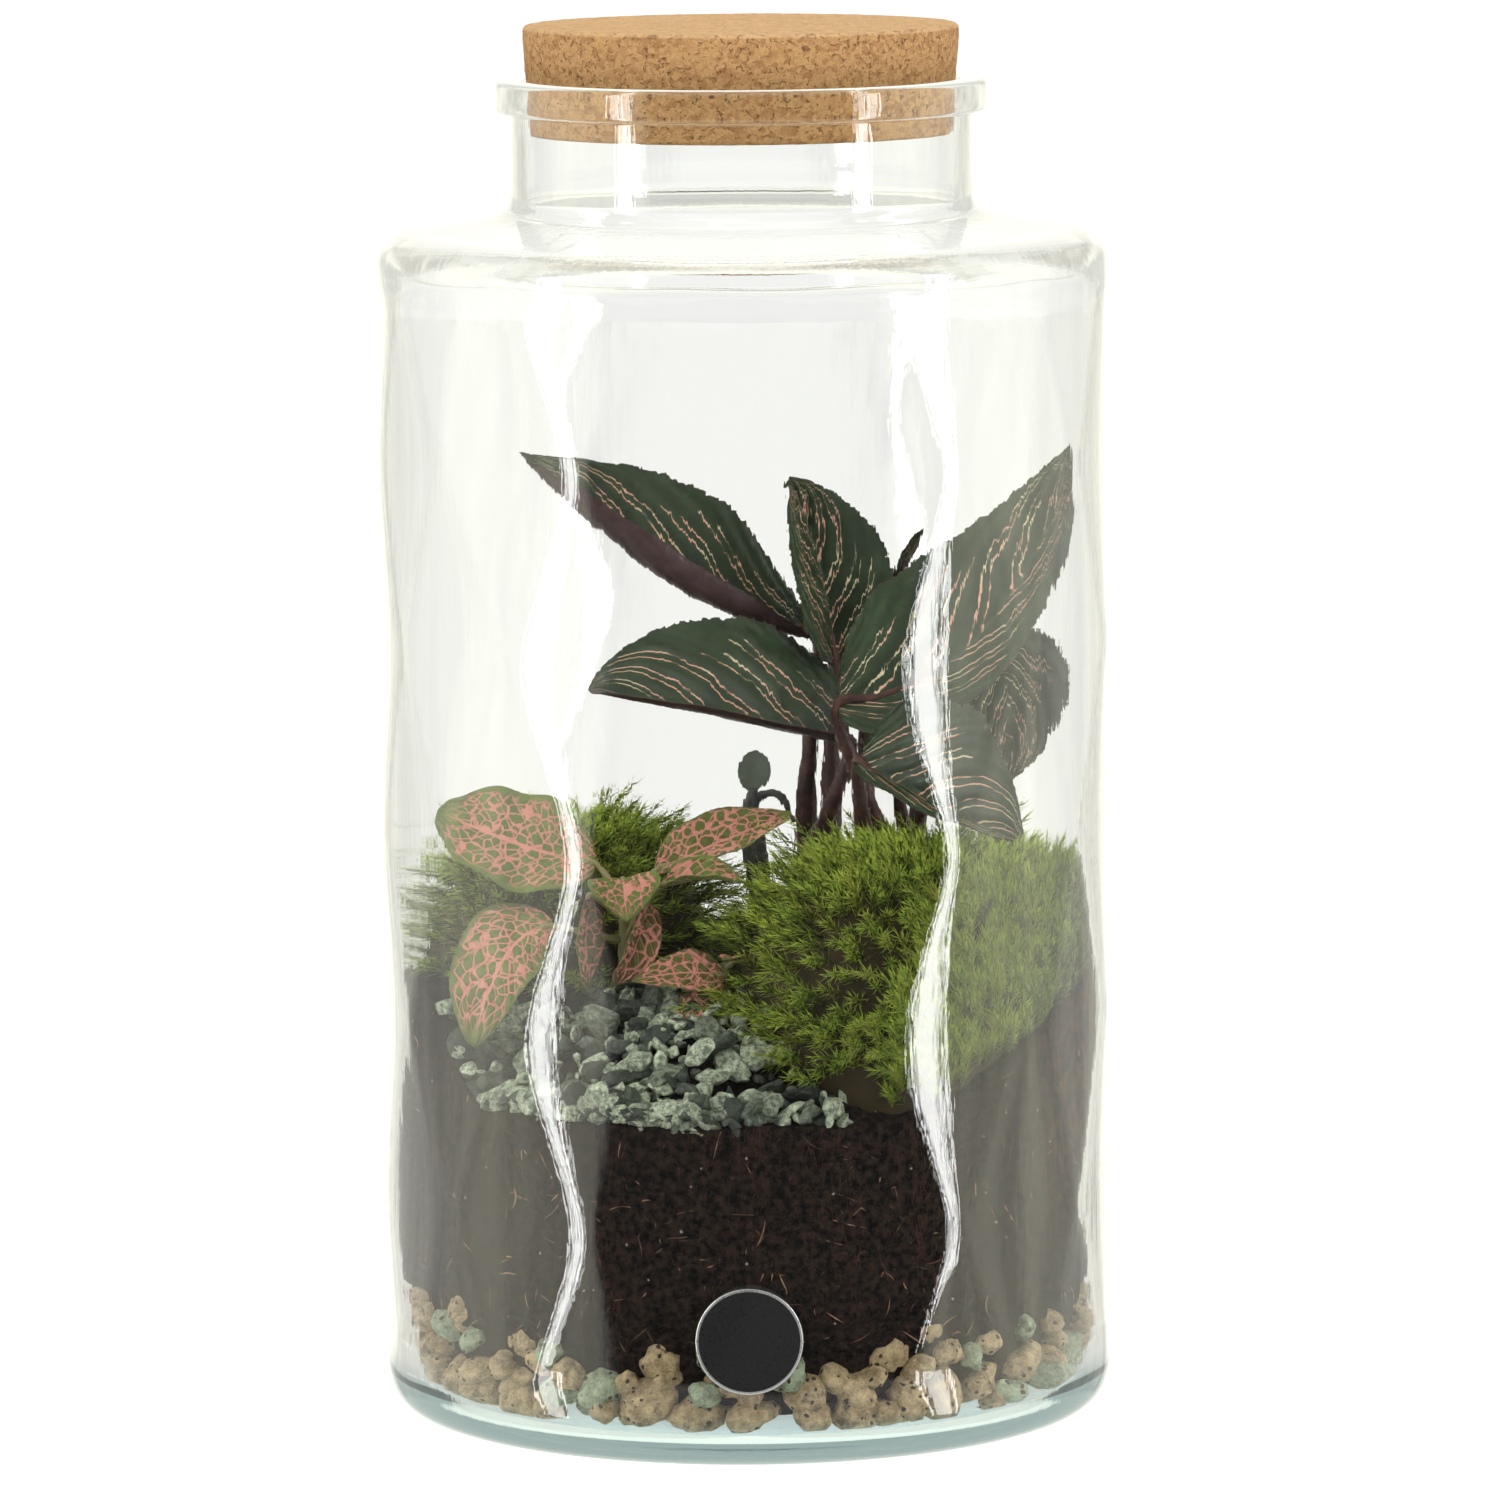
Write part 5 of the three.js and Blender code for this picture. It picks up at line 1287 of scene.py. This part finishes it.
class TERRARIUM_OT_gravel(bpy.types.Operator):
    """Flat slate chips on a low heap, on a spiral of places, most of them small."""

    bl_idname = "terrarium.gravel"
    bl_label = "Slate gravel"

    def execute(self, context):
        settings = context.scene.terrarium_filling
        rng = np.random.default_rng(19)
        count = settings.chips
        number = np.arange(count)
        angle = number * GOLDEN_TURN
        one = heap_share(GRAVEL["x"] + np.sin(angle), GRAVEL["y"] - np.cos(angle))
        radius = 1.02 * np.sqrt((number + 0.5) / count) / one
        x = GRAVEL["x"] + radius * np.sin(angle) + rng.uniform(-1, 1, count)
        y = GRAVEL["y"] - radius * np.cos(angle) + rng.uniform(-1, 1, count)
        size = 1.4 + 3.6 * rng.uniform(size=count) ** 1.9
        z = heap_top(x, y) + rng.uniform(-0.2, 0.75, count) * size
        reach = np.hypot(x, y)
        kept = reach < INSIDE + 5
        pulled = np.minimum(1, (INSIDE - 0.72 * size) / reach)
        centres = np.stack([x * pulled, y * pulled, z], -1)[kept]
        shape = inside_glass(stones(
            centres, size[kept], seed=23, level=1,
            flatness=(0.34, 0.62), cuts=9, depth=(0.5, 0.85), roughness=0.04,
        ))
        make_piece("slate_gravel", shape, gravel_finish(settings), ["gravel_chips"], smooth=False)
        return {"FINISHED"}


# ---------------------------------------------------------------- moss


def moss_reach(moss, angle):
    """How far a cushion reaches from its middle: an ellipse with slight waves."""
    ellipse = 1 / np.hypot(np.sin(angle) / moss["radius_x"], np.cos(angle) / moss["radius_y"])
    return ellipse * (1 + 0.04 * np.sin(3 * angle + moss["seed"]) + 0.03 * np.sin(7 * angle))


def moss_top(moss, x, y):
    """The height of a cushion, which falls to its foot at its reach."""
    angle = np.arctan2(x - moss["x"], -(y - moss["y"]))
    share = np.minimum(1, np.hypot(x - moss["x"], y - moss["y"]) / moss_reach(moss, angle))
    return moss["foot"] + (moss["top"] - moss["foot"]) * np.sqrt(1 - share ** moss["fullness"])


def moss_core(moss):
    """The cushion under its shoots: its top on rings about its own middle, and a skirt down into the
    soil. What would pass the wall is pressed against it."""
    angle = turns(96)
    share = np.sin(np.linspace(0.02, 0.5 * np.pi, 30))[:, None]
    reach = moss_reach(moss, angle) * share
    x, y = moss["x"] + reach * np.sin(angle), moss["y"] - reach * np.cos(angle)
    z = moss_top(moss, x, y)
    top = np.stack([x, y, z], -1)
    top[..., 2] += (0.9 * lumps(top, 9.0, seed=moss["seed"]) - 1.2) * (z > moss["foot"] + 1)
    skirt = top[-1:].copy()
    skirt[..., 2] = moss["foot"] - SKIRT
    rings = np.concatenate([top, skirt])[::-1]
    bottom, peak = moss["foot"] - SKIRT, moss["top"] - 1.2
    # The core's tip and tone of nought give it the darkest, brownest moss colour: partly the moss's own dark
    # base, partly painted shade under the shoots.
    shape = closed_rings(rings, (moss["x"], moss["y"], bottom), (moss["x"], moss["y"], peak), tip=0, tone=0)
    return inside_glass(shape, INSIDE - 3.5)


def moss_roots(moss, spacing, rng):
    """Places of shoots and their outward directions: on a spiral over the top, more of them on the steep
    edge, and along the glass where the cushion is pressed flat against it, pointing up the wall."""
    on_top = int(np.pi * moss["radius_x"] * moss["radius_y"] / spacing**2)
    number = np.arange(on_top)
    angle = np.concatenate([number * GOLDEN_TURN, rng.uniform(0, 2 * np.pi, on_top // 2)])
    share = np.concatenate([np.sqrt((number + 0.5) / on_top), rng.uniform(0.965, 1.0, on_top // 2)])
    reach = moss_reach(moss, angle) * share
    x, y = moss["x"] + reach * np.sin(angle), moss["y"] - reach * np.cos(angle)
    step = 1.2
    slope = np.stack([
        (moss_top(moss, x - step, y) - moss_top(moss, x + step, y)) / (2 * step),
        (moss_top(moss, x, y - step) - moss_top(moss, x, y + step)) / (2 * step),
        np.ones_like(x),
    ], -1)
    place = np.stack([x, y, moss_top(moss, x, y)], -1)
    kept = (place[:, 2] > soil_top(x, y) - 1) & (np.hypot(x, y) < INSIDE + 1)
    place, slope = place[kept], unit(slope[kept])
    at_wall, tries, tallest, lean = INSIDE - 3.2, 12000, 60, 0.22
    turn = rng.uniform(0, 2 * np.pi, tries)
    wall_x, wall_y = at_wall * np.sin(turn), -at_wall * np.cos(turn)
    z = soil_top(wall_x, wall_y) - 1 + rng.uniform(0, tallest, tries)
    own = np.arctan2(wall_x - moss["x"], -(wall_y - moss["y"]))
    within = np.hypot(wall_x - moss["x"], wall_y - moss["y"]) < moss_reach(moss, own)
    within &= z < moss_top(moss, wall_x, wall_y)
    along_wall = np.stack([wall_x, wall_y, z], -1)[within]
    outward = about_axis(turn, lean, 1.0)[within]
    return np.concatenate([place - 3.0 * slope, along_wall]), np.concatenate([slope, outward])


def moss_shoots(moss, settings):
    """Feathery shoots. A shoot leaves its place in the given direction, leans at random and droops
    outwards; its needles stand round it, each turned by the golden angle from the one before and more
    closed towards its tip. A needle is a three-sided spike: three corners round its foot, and its tip.
    Shoots at the front, where the light falls, get a higher tone, which paints them yellower: painted
    light. Those at the right wall are dry and brown."""
    rng = np.random.default_rng(moss["seed"])
    root, outwards = moss_roots(moss, settings.spacing / MM, rng)
    count = len(root)
    direction = unit(outwards * (0.9, 0.9, 0.7) + rng.normal(0, 0.30, (count, 3)) + (0, 0, 0.55))
    longer = rng.uniform(size=count) < 0.12
    length_mm = settings.shoot / MM * rng.uniform(0.5, 1.2, count) * np.where(longer, 1.5, 1)
    droop = unit((root - (moss["x"], moss["y"], 0)) * (1, 1, 0)) * 0.25
    per_shoot = 24
    s = 0.2 + 0.8 * (np.arange(per_shoot) + 0.5) / per_shoot
    bow = (droop - (0, 0, 0.18))[:, None] * (s * s)[None, :, None]
    stem = root[:, None] + length_mm[:, None, None] * (direction[:, None] * s[None, :, None] + bow)
    along = unit(direction[:, None] + 2 * bow / s[None, :, None])
    across = unit(np.cross(along, (0.3, 0.5, 0.81)))
    up = np.cross(along, across)
    spin = (np.arange(per_shoot) * GOLDEN_TURN)[None, :] + rng.uniform(0, 2 * np.pi, (count, 1))
    outward = across * np.cos(spin)[..., None] + up * np.sin(spin)[..., None]
    opening = np.interp(s, (0.2, 0.85, 1.0), (0.75, 0.6, 0.2)) + rng.normal(0, 0.14, (count, per_shoot))
    needle = along * np.cos(opening)[..., None] + outward * np.sin(opening)[..., None]
    needle_mm = settings.needle / MM * np.interp(s, (0.2, 0.6, 1.0), (0.85, 1.0, 0.7))
    needle_mm = needle_mm * rng.uniform(0.7, 1.25, (count, per_shoot))
    side = unit(np.cross(needle, outward + 0.01))
    lift = np.cross(side, needle)
    feet = [stem + 0.24 * side * math.cos(a) + 0.13 * lift * math.sin(a) for a in (0.5, 2.6, 4.7)]
    tips = stem + (needle + 0.18 * along) * needle_mm[..., None]
    points = np.stack([*feet, tips], 2).reshape(-1, 3)
    base = 4 * np.arange(count * per_shoot)[:, None]
    faces = np.concatenate([base + [[0, 1, 3]], base + [[1, 2, 3]], base + [[2, 0, 3]], base + [[0, 2, 1]]])
    # tip: darker at each needle's foot and low on the shoot, paler towards the tips: partly the moss's own
    # colour, partly painted shade and light.
    height = np.repeat(s[None], count, 0)
    tip = np.stack([0.05 + 0.35 * height] * 3 + [0.35 + 0.65 * height], -1).ravel()
    # sunny: painted light, a higher tone for shoots at the front where the light falls.
    sunny = smoothstep(-root[:, 1] - root[:, 0], -45, 5)
    fresh_and_lit = 0.75 * rng.uniform(size=count) + 0.25 * sunny
    fresh_and_lit *= 1 - 0.95 * smoothstep(root[:, 0] + rng.normal(0, 2, count), 64, 72)
    tone = np.repeat(fresh_and_lit, per_shoot * 4)
    points[:, 2] = np.maximum(points[:, 2], soil_top(points[:, 0], points[:, 1]) + 0.1)
    return inside_glass(Shape(points, [faces], tip=tip, tone=tone), INSIDE - 0.1)


class TERRARIUM_OT_moss(bpy.types.Operator):
    """Two moss cushions: a dark core, partly painted shade under the shoots, and feathery shoots of fine
    needles all over it.
    """

    bl_idname = "terrarium.moss"
    bl_label = "Moss cushions"

    def execute(self, context):
        settings = context.scene.terrarium_moss
        finish = moss_finish(settings)
        for node, moss in MOSS.items():
            shape = joined([moss_core(moss), moss_shoots(moss, settings)])
            make_piece(node.replace("moss_cushion", "moss"), shape, finish, [node])
        return {"FINISHED"}


# ---------------------------------------------------------------- leaves


def bezier(points, t):
    """A quadratic or cubic Bezier curve and its unit direction at the places t."""
    points = np.asarray(points, float)
    order = len(points) - 1
    t = np.asarray(t, float)[:, None]
    value = sum(math.comb(order, k) * t**k * (1 - t) ** (order - k) * points[k] for k in range(order + 1))
    steps = np.diff(points, axis=0)
    slope = sum(math.comb(order - 1, k) * t**k * (1 - t) ** (order - 1 - k) * steps[k] for k in range(order))
    return value, unit(slope)


def midrib_frame(leaf, t):
    """Places on the midrib, the direction across the blade and its normal."""
    middle, along = bezier((leaf["base"], leaf["bend"], leaf["tip"]), t)
    side = np.asarray(leaf["side"], float)
    side = unit(side - along * (along @ side)[:, None])
    return middle, side, np.cross(side, along)


def blade(leaf, thickness, rows, columns, quilt=0.0, quilts=10, slant=0.3, notch=0.0, point=0.0):
    """A blade over (t, v): t along the midrib, v across it from -1 to 1. The half-width is a sine drawn
    towards its widest place. Each half leaves the midrib at its fold and goes on turning by its curl,
    along an arc, and its margin waves. Between its side veins the blade is raised by the quilt."""
    t = np.linspace(0, 1, rows)
    v = np.sin(np.linspace(-0.5 * np.pi, 0.5 * np.pi, columns))[None, :]
    middle, side, normal = midrib_frame(leaf, t)
    power = math.log(0.5) / math.log(leaf["widest"])
    swell = np.sin(np.pi * t**power).clip(0)
    width = np.maximum(0.35, leaf["half_width"] * swell ** leaf.get("fullness", 0.8))[:, None]
    width = width * ((1 - t) / (0.93 * (1 - t) + 0.07))[:, None] ** point
    jags = np.sin(2 * np.pi * 9 * t) + np.sin(2 * np.pi * 23 * t + 1) + np.sin(2 * np.pi * 41 * t + 2)
    notches = 1 - notch * np.abs(v) ** 6 * (1 + jags)[:, None]
    width = width * notches
    openness = np.minimum(1, width / 4)
    left = v < 0
    fold, curl = openness * np.where(left, *leaf["fold"]), openness * np.where(left, *leaf["curl"])
    share = np.where(left, *leaf.get("share", (1, 1)))
    run = np.abs(v)
    turn = fold + curl * run
    bent = np.abs(curl) > 1e-3
    safe = np.where(bent, curl, 1)
    lateral = np.where(bent, (np.sin(turn) - np.sin(fold)) / safe, run * np.cos(fold))
    lift = np.where(bent, (np.cos(fold) - np.cos(turn)) / safe, run * np.sin(fold))
    ripple = np.sin(2 * np.pi * 2.5 * t[:, None] + 2 * np.sign(v))
    lift = lift + openness * leaf.get("wave", 0.05) * v * v * ripple
    across = (np.sign(v) * share * width * lateral)[..., None]
    raised_by = (share * width * lift)[..., None]
    points = middle[:, None] + side[:, None] * across + normal[:, None] * raised_by
    spread = np.maximum(run, 1e-6) ** 1.25
    phase = 2 * np.pi * quilts * (t[:, None] - slant * spread) + np.where(left, 0, 2.3)
    pad = quilt * np.cos(phase) * smoothstep(run, 0.03, 0.2) * (1 - smoothstep(run, 0.8, 1)) * openness
    groove = -0.35 * quilt * np.exp(-((run / 0.05) ** 2)) * openness
    facing = unit(np.cross(np.gradient(points, axis=1), np.gradient(points, axis=0)))
    points = points + facing * (pad + groove)[..., None]
    half = 0.5 * thickness * (1 - 0.7 * run**4)[..., None]
    length_mm = np.linalg.norm(np.diff(middle, axis=0), axis=1).sum()
    return closed_sheet(
        points + facing * half, points - facing * half,
        along=t[:, None], across=v, width=share * leaf["half_width"], length=length_mm,
        blush=leaf.get("blush", 0),
    )


def petiole_path(leaf):
    """Upright out of the soil, then over to the blade's base and on under its midrib."""
    x, y = leaf["root"]
    soil = soil_height(x, y)
    base = np.array(leaf["base"], float)
    reach = base[2] - soil
    above = np.array((x, y, base[2]), float) * 0.15 + base * 0.85
    above[2] = base[2] - 0.3 * reach
    curve, _ = bezier(((x, y, soil + 1), (x, y, soil + 0.35 * reach), above, base), np.linspace(0, 1, 5))
    middle, _, normal = midrib_frame(leaf, np.array([0.12, 0.3]))
    return np.concatenate([[(x, y, soil - STEM_DEPTH)], curve, middle - 0.3 * normal])


class TERRARIUM_OT_striped_plant(bpy.types.Operator):
    """Eight striped leaves, each a blade on its own petiole."""

    bl_idname = "terrarium.striped_plant"
    bl_label = "Striped plant"

    def execute(self, context):
        settings = context.scene.terrarium_leaves
        finish = striped_leaf_finish(settings)
        for number, leaf in enumerate(CALATHEA, 1):
            path, radii = smooth_path(petiole_path(leaf), PETIOLE_RADII, steps=44)
            sheet = blade(
                leaf, settings.blade / MM, rows=110, columns=49,
                quilt=0.12, quilts=5.5, slant=0.62, notch=0.011, point=0.5,
            )
            shape = inside_glass(joined([sheet, tube(path, radii, sides=12)]))
            make_piece(f"striped_leaf_{number}", shape, finish, [f"calathea_leaf_{number}"])
        return {"FINISHED"}


class TERRARIUM_OT_veined_plant(bpy.types.Operator):
    """Two leafy stems of the net-veined plant, each leaf on a short stalk."""

    bl_idname = "terrarium.veined_plant"
    bl_label = "Net-veined plant"

    def execute(self, context):
        settings = context.scene.terrarium_leaves
        finish = veined_leaf_finish(settings)
        for node, plant in FITTONIA.items():
            x, y = plant["root"]
            soil = soil_height(x, y)
            points = [(x, y, soil - STEM_DEPTH), (x, y, soil + 1), *plant["path"]]
            shapes = [tube(*smooth_path(points, (1.4, 1.4, 1.3, 1.1), steps=24), sides=10)]
            for leaf in plant["leaves"]:
                middle, _, normal = midrib_frame(leaf, np.array([0.15, 0.4]))
                stalk = [leaf["start"], leaf["base"], *(middle - 0.25 * normal)]
                shapes.append(tube(*smooth_path(stalk, (0.8, 0.7, 0.55, 0.35), steps=20), sides=8))
                shapes.append(blade(leaf, settings.blade / MM, rows=70, columns=41, quilt=0.30, quilts=8))
            name = node.replace("fittonia_shoot", "veined_plant")
            make_piece(name, inside_glass(joined(shapes)), finish, [node])
        return {"FINISHED"}


class TERRARIUM_OT_young_shoot(bpy.types.Operator):
    """The dark young shoot: a sheathed stalk, an arching side stalk and one small round leaf."""

    bl_idname = "terrarium.young_shoot"
    bl_label = "Young shoot"

    def execute(self, context):
        settings = context.scene.terrarium_leaves
        x, y = SHOOT["root"]
        soil = soil_height(x, y)
        points = [(x, y, soil - STEM_DEPTH), (x, y, soil + 1), *SHOOT["stalk"]]
        stalk = tube(*smooth_path(points, SHOOT["stalk_radii"], steps=48), sides=16)
        arch = tube(*smooth_path(SHOOT["arch"], SHOOT["arch_radii"], steps=24), sides=10)
        leaf = blade(SHOOT["leaf"], settings.blade / MM, rows=30, columns=21)
        make_piece("shoot", joined([stalk, arch, leaf]), shoot_finish(settings), ["young_shoot"])
        return {"FINISHED"}


# ---------------------------------------------------------------- stage


def card(tree, angle, start, end, remaining):
    """A pale wall between two angles from the front, each given as where it's eased from and to. At its
    end the brightness falls to a share of itself."""
    begins = eased(tree, angle, *start)
    return maths(tree, "MULTIPLY", begins, eased(tree, angle, *end, 1.0, remaining))


def surroundings(settings):
    """White for the eye and behind clear glass, a soft fill as light, and for reflections dim in front and
    bright at both sides, above and below. Light that has bounced twice in the glass gets an even grey."""
    world = bpy.data.worlds.new("Studio")
    world.use_nodes = True
    bpy.context.scene.world = world
    tree = world.node_tree
    tree.nodes.clear()
    direction = add(tree, "ShaderNodeTexCoord").outputs["Generated"]
    x, y, z = axes_of(tree, direction)
    front = maths(tree, "MULTIPLY", y, -1.0)
    to_right = maths(tree, "DEGREES", maths(tree, "ARCTAN2", x, front))
    to_left = maths(tree, "MULTIPLY", to_right, -1.0)
    right_card = card(tree, to_right, (60.0, 64.0), (108.0, 120.0), 0.55)
    left_card = card(tree, to_left, (46.0, 51.0), (100.0, 120.0), 0.6)
    behind = eased(tree, maths(tree, "ABSOLUTE", to_right), 150.0, 164.0)
    uneven = eased(tree, noise(tree, direction, 9.0, 4.0).outputs[0], 0.35, 0.65, 0.85, 1.25)
    cards = maths(tree, "MULTIPLY", maths(tree, "MAXIMUM", right_card, left_card), uneven)
    around = maths(tree, "MAXIMUM", cards, behind)
    above = eased(tree, z, 0.0, 0.10, 0.0, 0.4)
    below = eased(tree, maths(tree, "MULTIPLY", z, -1.0), 0.25, 0.34, 0.0, 0.8)
    lit = maths(tree, "MAXIMUM", around, maths(tree, "MAXIMUM", above, below))
    reflected = maths(tree, "MULTIPLY_ADD", lit, settings.haze, 0.03)
    path = add(tree, "ShaderNodeLightPath")
    bounced = maths(tree, "GREATER_THAN", path.outputs["Glossy Depth"], ONE_BOUNCE)
    trapped = maths(tree, "GREATER_THAN", path.outputs["Glossy Depth"], TWO_BOUNCES)
    plain = chosen(tree, path.outputs["Is Diffuse Ray"], 1.0, settings.fill)
    mirrored = chosen(tree, trapped, reflected, 0.8)
    strength = chosen(tree, bounced, plain, mirrored)
    carded = maths(tree, "MULTIPLY", bounced, maths(tree, "MINIMUM", cards, 1.0))
    warm = blended(tree, carded, (1.0, 1.0, 0.98), (1.0, 0.985, 0.82))
    background = add(tree, "ShaderNodeBackground", {"Color": warm, "Strength": strength})
    output = add(tree, "ShaderNodeOutputWorld")
    tree.links.new(background.outputs[0], output.inputs[0])


def floor_finish(settings):
    """A pale sheet that glows a little. Reflections pass through it, so that the glass mirrors only the
    studio, and seen through the jar it falls off a little to both sides, as a lit backdrop does."""
    material, tree, shader = new_material(
        "Pale floor", 0.9, Specular_IOR_Level=0.0, Emission_Color=(1, 1, 1, 1), Emission_Strength=0.85
    )
    place = place_of(tree)
    shade = eased(tree, noise(tree, place, 40.0).outputs[0], 0.3, 0.7, 0.985, 1.0)
    paint(tree, shader, multiplied(tree, settings.floor, shade))
    x, y, _ = axes_of(tree, place)
    distance = maths(tree, "SUBTRACT", y, CAMERA["place"][1] * MM)
    off_middle = maths(tree, "DIVIDE", maths(tree, "ABSOLUTE", x), distance)
    falloff = eased(tree, off_middle, 0.010, 0.034, 1.09, 0.93)
    backdrop = add(tree, "ShaderNodeEmission", {"Color": (1.0, 1.0, 0.965, 1.0), "Strength": falloff})
    depth = add(tree, "ShaderNodeLightPath").outputs["Transmission Depth"]
    through = maths(tree, "GREATER_THAN", depth, TWO_BOUNCES)
    unmirrored(tree, mixed_shader(tree, through, shader.outputs[0], backdrop.outputs[0]))
    return material


def area_light(name, place, target, width, height, brightness, mirrored):
    """A rectangle of light of a given brightness, which faces a target and isn't itself seen. It either
    only shows mirrored in the glass, or only lights."""
    light = bpy.data.lights.new(name, "AREA")
    light.shape = "RECTANGLE"
    light.size, light.size_y = width, height
    light.energy = brightness * math.pi * width * height
    lamp = bpy.data.objects.new(name, light)
    lamp.location = place
    lamp.rotation_euler = (Vector(target) - Vector(place)).to_track_quat("-Z", "Y").to_euler()
    lamp.visible_camera = False
    lamp.visible_diffuse = not mirrored
    lamp.visible_glossy = mirrored
    lamp.visible_transmission = mirrored
    bpy.context.scene.collection.objects.link(lamp)


class TERRARIUM_OT_stage(bpy.types.Operator):
    """The pale floor, the studio light and the camera."""

    bl_idname = "terrarium.stage"
    bl_label = "Stage and camera"

    def execute(self, context):
        settings = context.scene.terrarium_stage
        scene = context.scene
        scene.view_settings.view_transform = "Standard"
        surroundings(settings)
        self.floor(settings)
        for side, degrees in LAMP_ANGLES.items():
            self.strip(side, degrees, settings.strip_brightness)
            place = about_axis(math.radians(degrees), KEY["distance"], KEY["height"])
            target, width = (0, 0, KEY["target"]), KEY["width"]
            area_light(f"key_{side}", place, target, width, width, settings.key_brightness, False)
        target, width = (0, 0, OVERHEAD["target"]), OVERHEAD["width"]
        brightness = OVERHEAD["share"] * settings.key_brightness
        area_light("overhead", OVERHEAD["place"], target, width, width, brightness, False)
        self.camera(scene)
        return {"FINISHED"}

    def strip(self, side, degrees, brightness):
        """A tall lamp that only shows mirrored in the glass: a wide part, and a narrow one on each side."""
        tall, target = STRIP["length"], (0, 0, STRIP["height"])
        for part, (off, width, share) in enumerate(STRIP_PARTS):
            place = about_axis(math.radians(degrees + off), STRIP["distance"], STRIP["height"])
            area_light(f"strip_{side}_{part}", place, target, width, tall, share * brightness, True)

    def floor(self, settings):
        reach, level = FLOOR["reach"] * MM, FLOOR["level"] * MM
        corners = [(x * reach, y * reach, level) for x, y in ((-1, -1), (1, -1), (1, 1), (-1, 1))]
        mesh = bpy.data.meshes.new("floor")
        mesh.from_pydata(corners, [], [(0, 1, 2, 3)])
        mesh.materials.append(floor_finish(settings))
        floor = bpy.data.objects.new("floor", mesh)
        bpy.context.scene.collection.objects.link(floor)

    def camera(self, scene):
        pitch, yaw, roll = CAMERA["pitch"], CAMERA["yaw"], CAMERA["roll"]
        forward = Vector((math.sin(yaw) * math.cos(pitch), math.cos(yaw) * math.cos(pitch), -math.sin(pitch)))
        level = forward.cross(Vector((0, 0, 1))).normalized()
        upright = level.cross(forward)
        right = math.cos(roll) * level + math.sin(roll) * upright
        up = math.cos(roll) * upright - math.sin(roll) * level
        lens = bpy.data.cameras.new("camera")
        lens.sensor_width = 36.0
        lens.lens = lens.sensor_width * CAMERA["focal_px"] / CAMERA["frame_px"]
        lens.clip_end = 100.0
        camera = bpy.data.objects.new("camera", lens)
        axes = Matrix((right, up, -forward)).transposed().to_4x4()
        camera.matrix_world = Matrix.Translation(Vector(CAMERA["place"]) * MM) @ axes
        scene.collection.objects.link(camera)
        scene.camera = camera


# ---------------------------------------------------------------- add-on


class TERRARIUM_PT_panel(bpy.types.Panel):
    """Lists the steps that build the terrarium."""

    bl_label = "Terrarium"
    bl_idname = "TERRARIUM_PT_panel"
    bl_space_type = "VIEW_3D"
    bl_region_type = "UI"
    bl_category = "Terrarium"

    def draw(self, context):
        for step in STEPS:
            self.layout.operator(step.bl_idname)
        for name in SETTINGS:
            group = getattr(context.scene, name)
            box = self.layout.box()
            for key in group.__annotations__:
                box.prop(group, key)


STEPS = (
    TERRARIUM_OT_stage,
    TERRARIUM_OT_jar,
    TERRARIUM_OT_cork,
    TERRARIUM_OT_label,
    TERRARIUM_OT_granules,
    TERRARIUM_OT_soil,
    TERRARIUM_OT_gravel,
    TERRARIUM_OT_moss,
    TERRARIUM_OT_striped_plant,
    TERRARIUM_OT_veined_plant,
    TERRARIUM_OT_young_shoot,
)
SETTINGS = {
    "terrarium_jar": JarSettings,
    "terrarium_filling": FillingSettings,
    "terrarium_moss": MossSettings,
    "terrarium_leaves": LeafSettings,
    "terrarium_stage": StageSettings,
}


def register():
    for group in (*SETTINGS.values(), *STEPS, TERRARIUM_PT_panel):
        bpy.utils.register_class(group)
    for name, group in SETTINGS.items():
        setattr(bpy.types.Scene, name, PointerProperty(type=group))


def unregister():
    for name in SETTINGS:
        delattr(bpy.types.Scene, name)
    for group in (TERRARIUM_PT_panel, *reversed(STEPS), *reversed(SETTINGS.values())):
        bpy.utils.unregister_class(group)


def main():
    register()
    bpy.ops.terrarium.stage()
    bpy.ops.terrarium.jar()
    bpy.ops.terrarium.cork()
    bpy.ops.terrarium.label()
    bpy.ops.terrarium.granules()
    bpy.ops.terrarium.soil()
    bpy.ops.terrarium.gravel()
    bpy.ops.terrarium.moss()
    bpy.ops.terrarium.striped_plant()
    bpy.ops.terrarium.veined_plant()
    bpy.ops.terrarium.young_shoot()


if __name__ == "__main__":
    main()
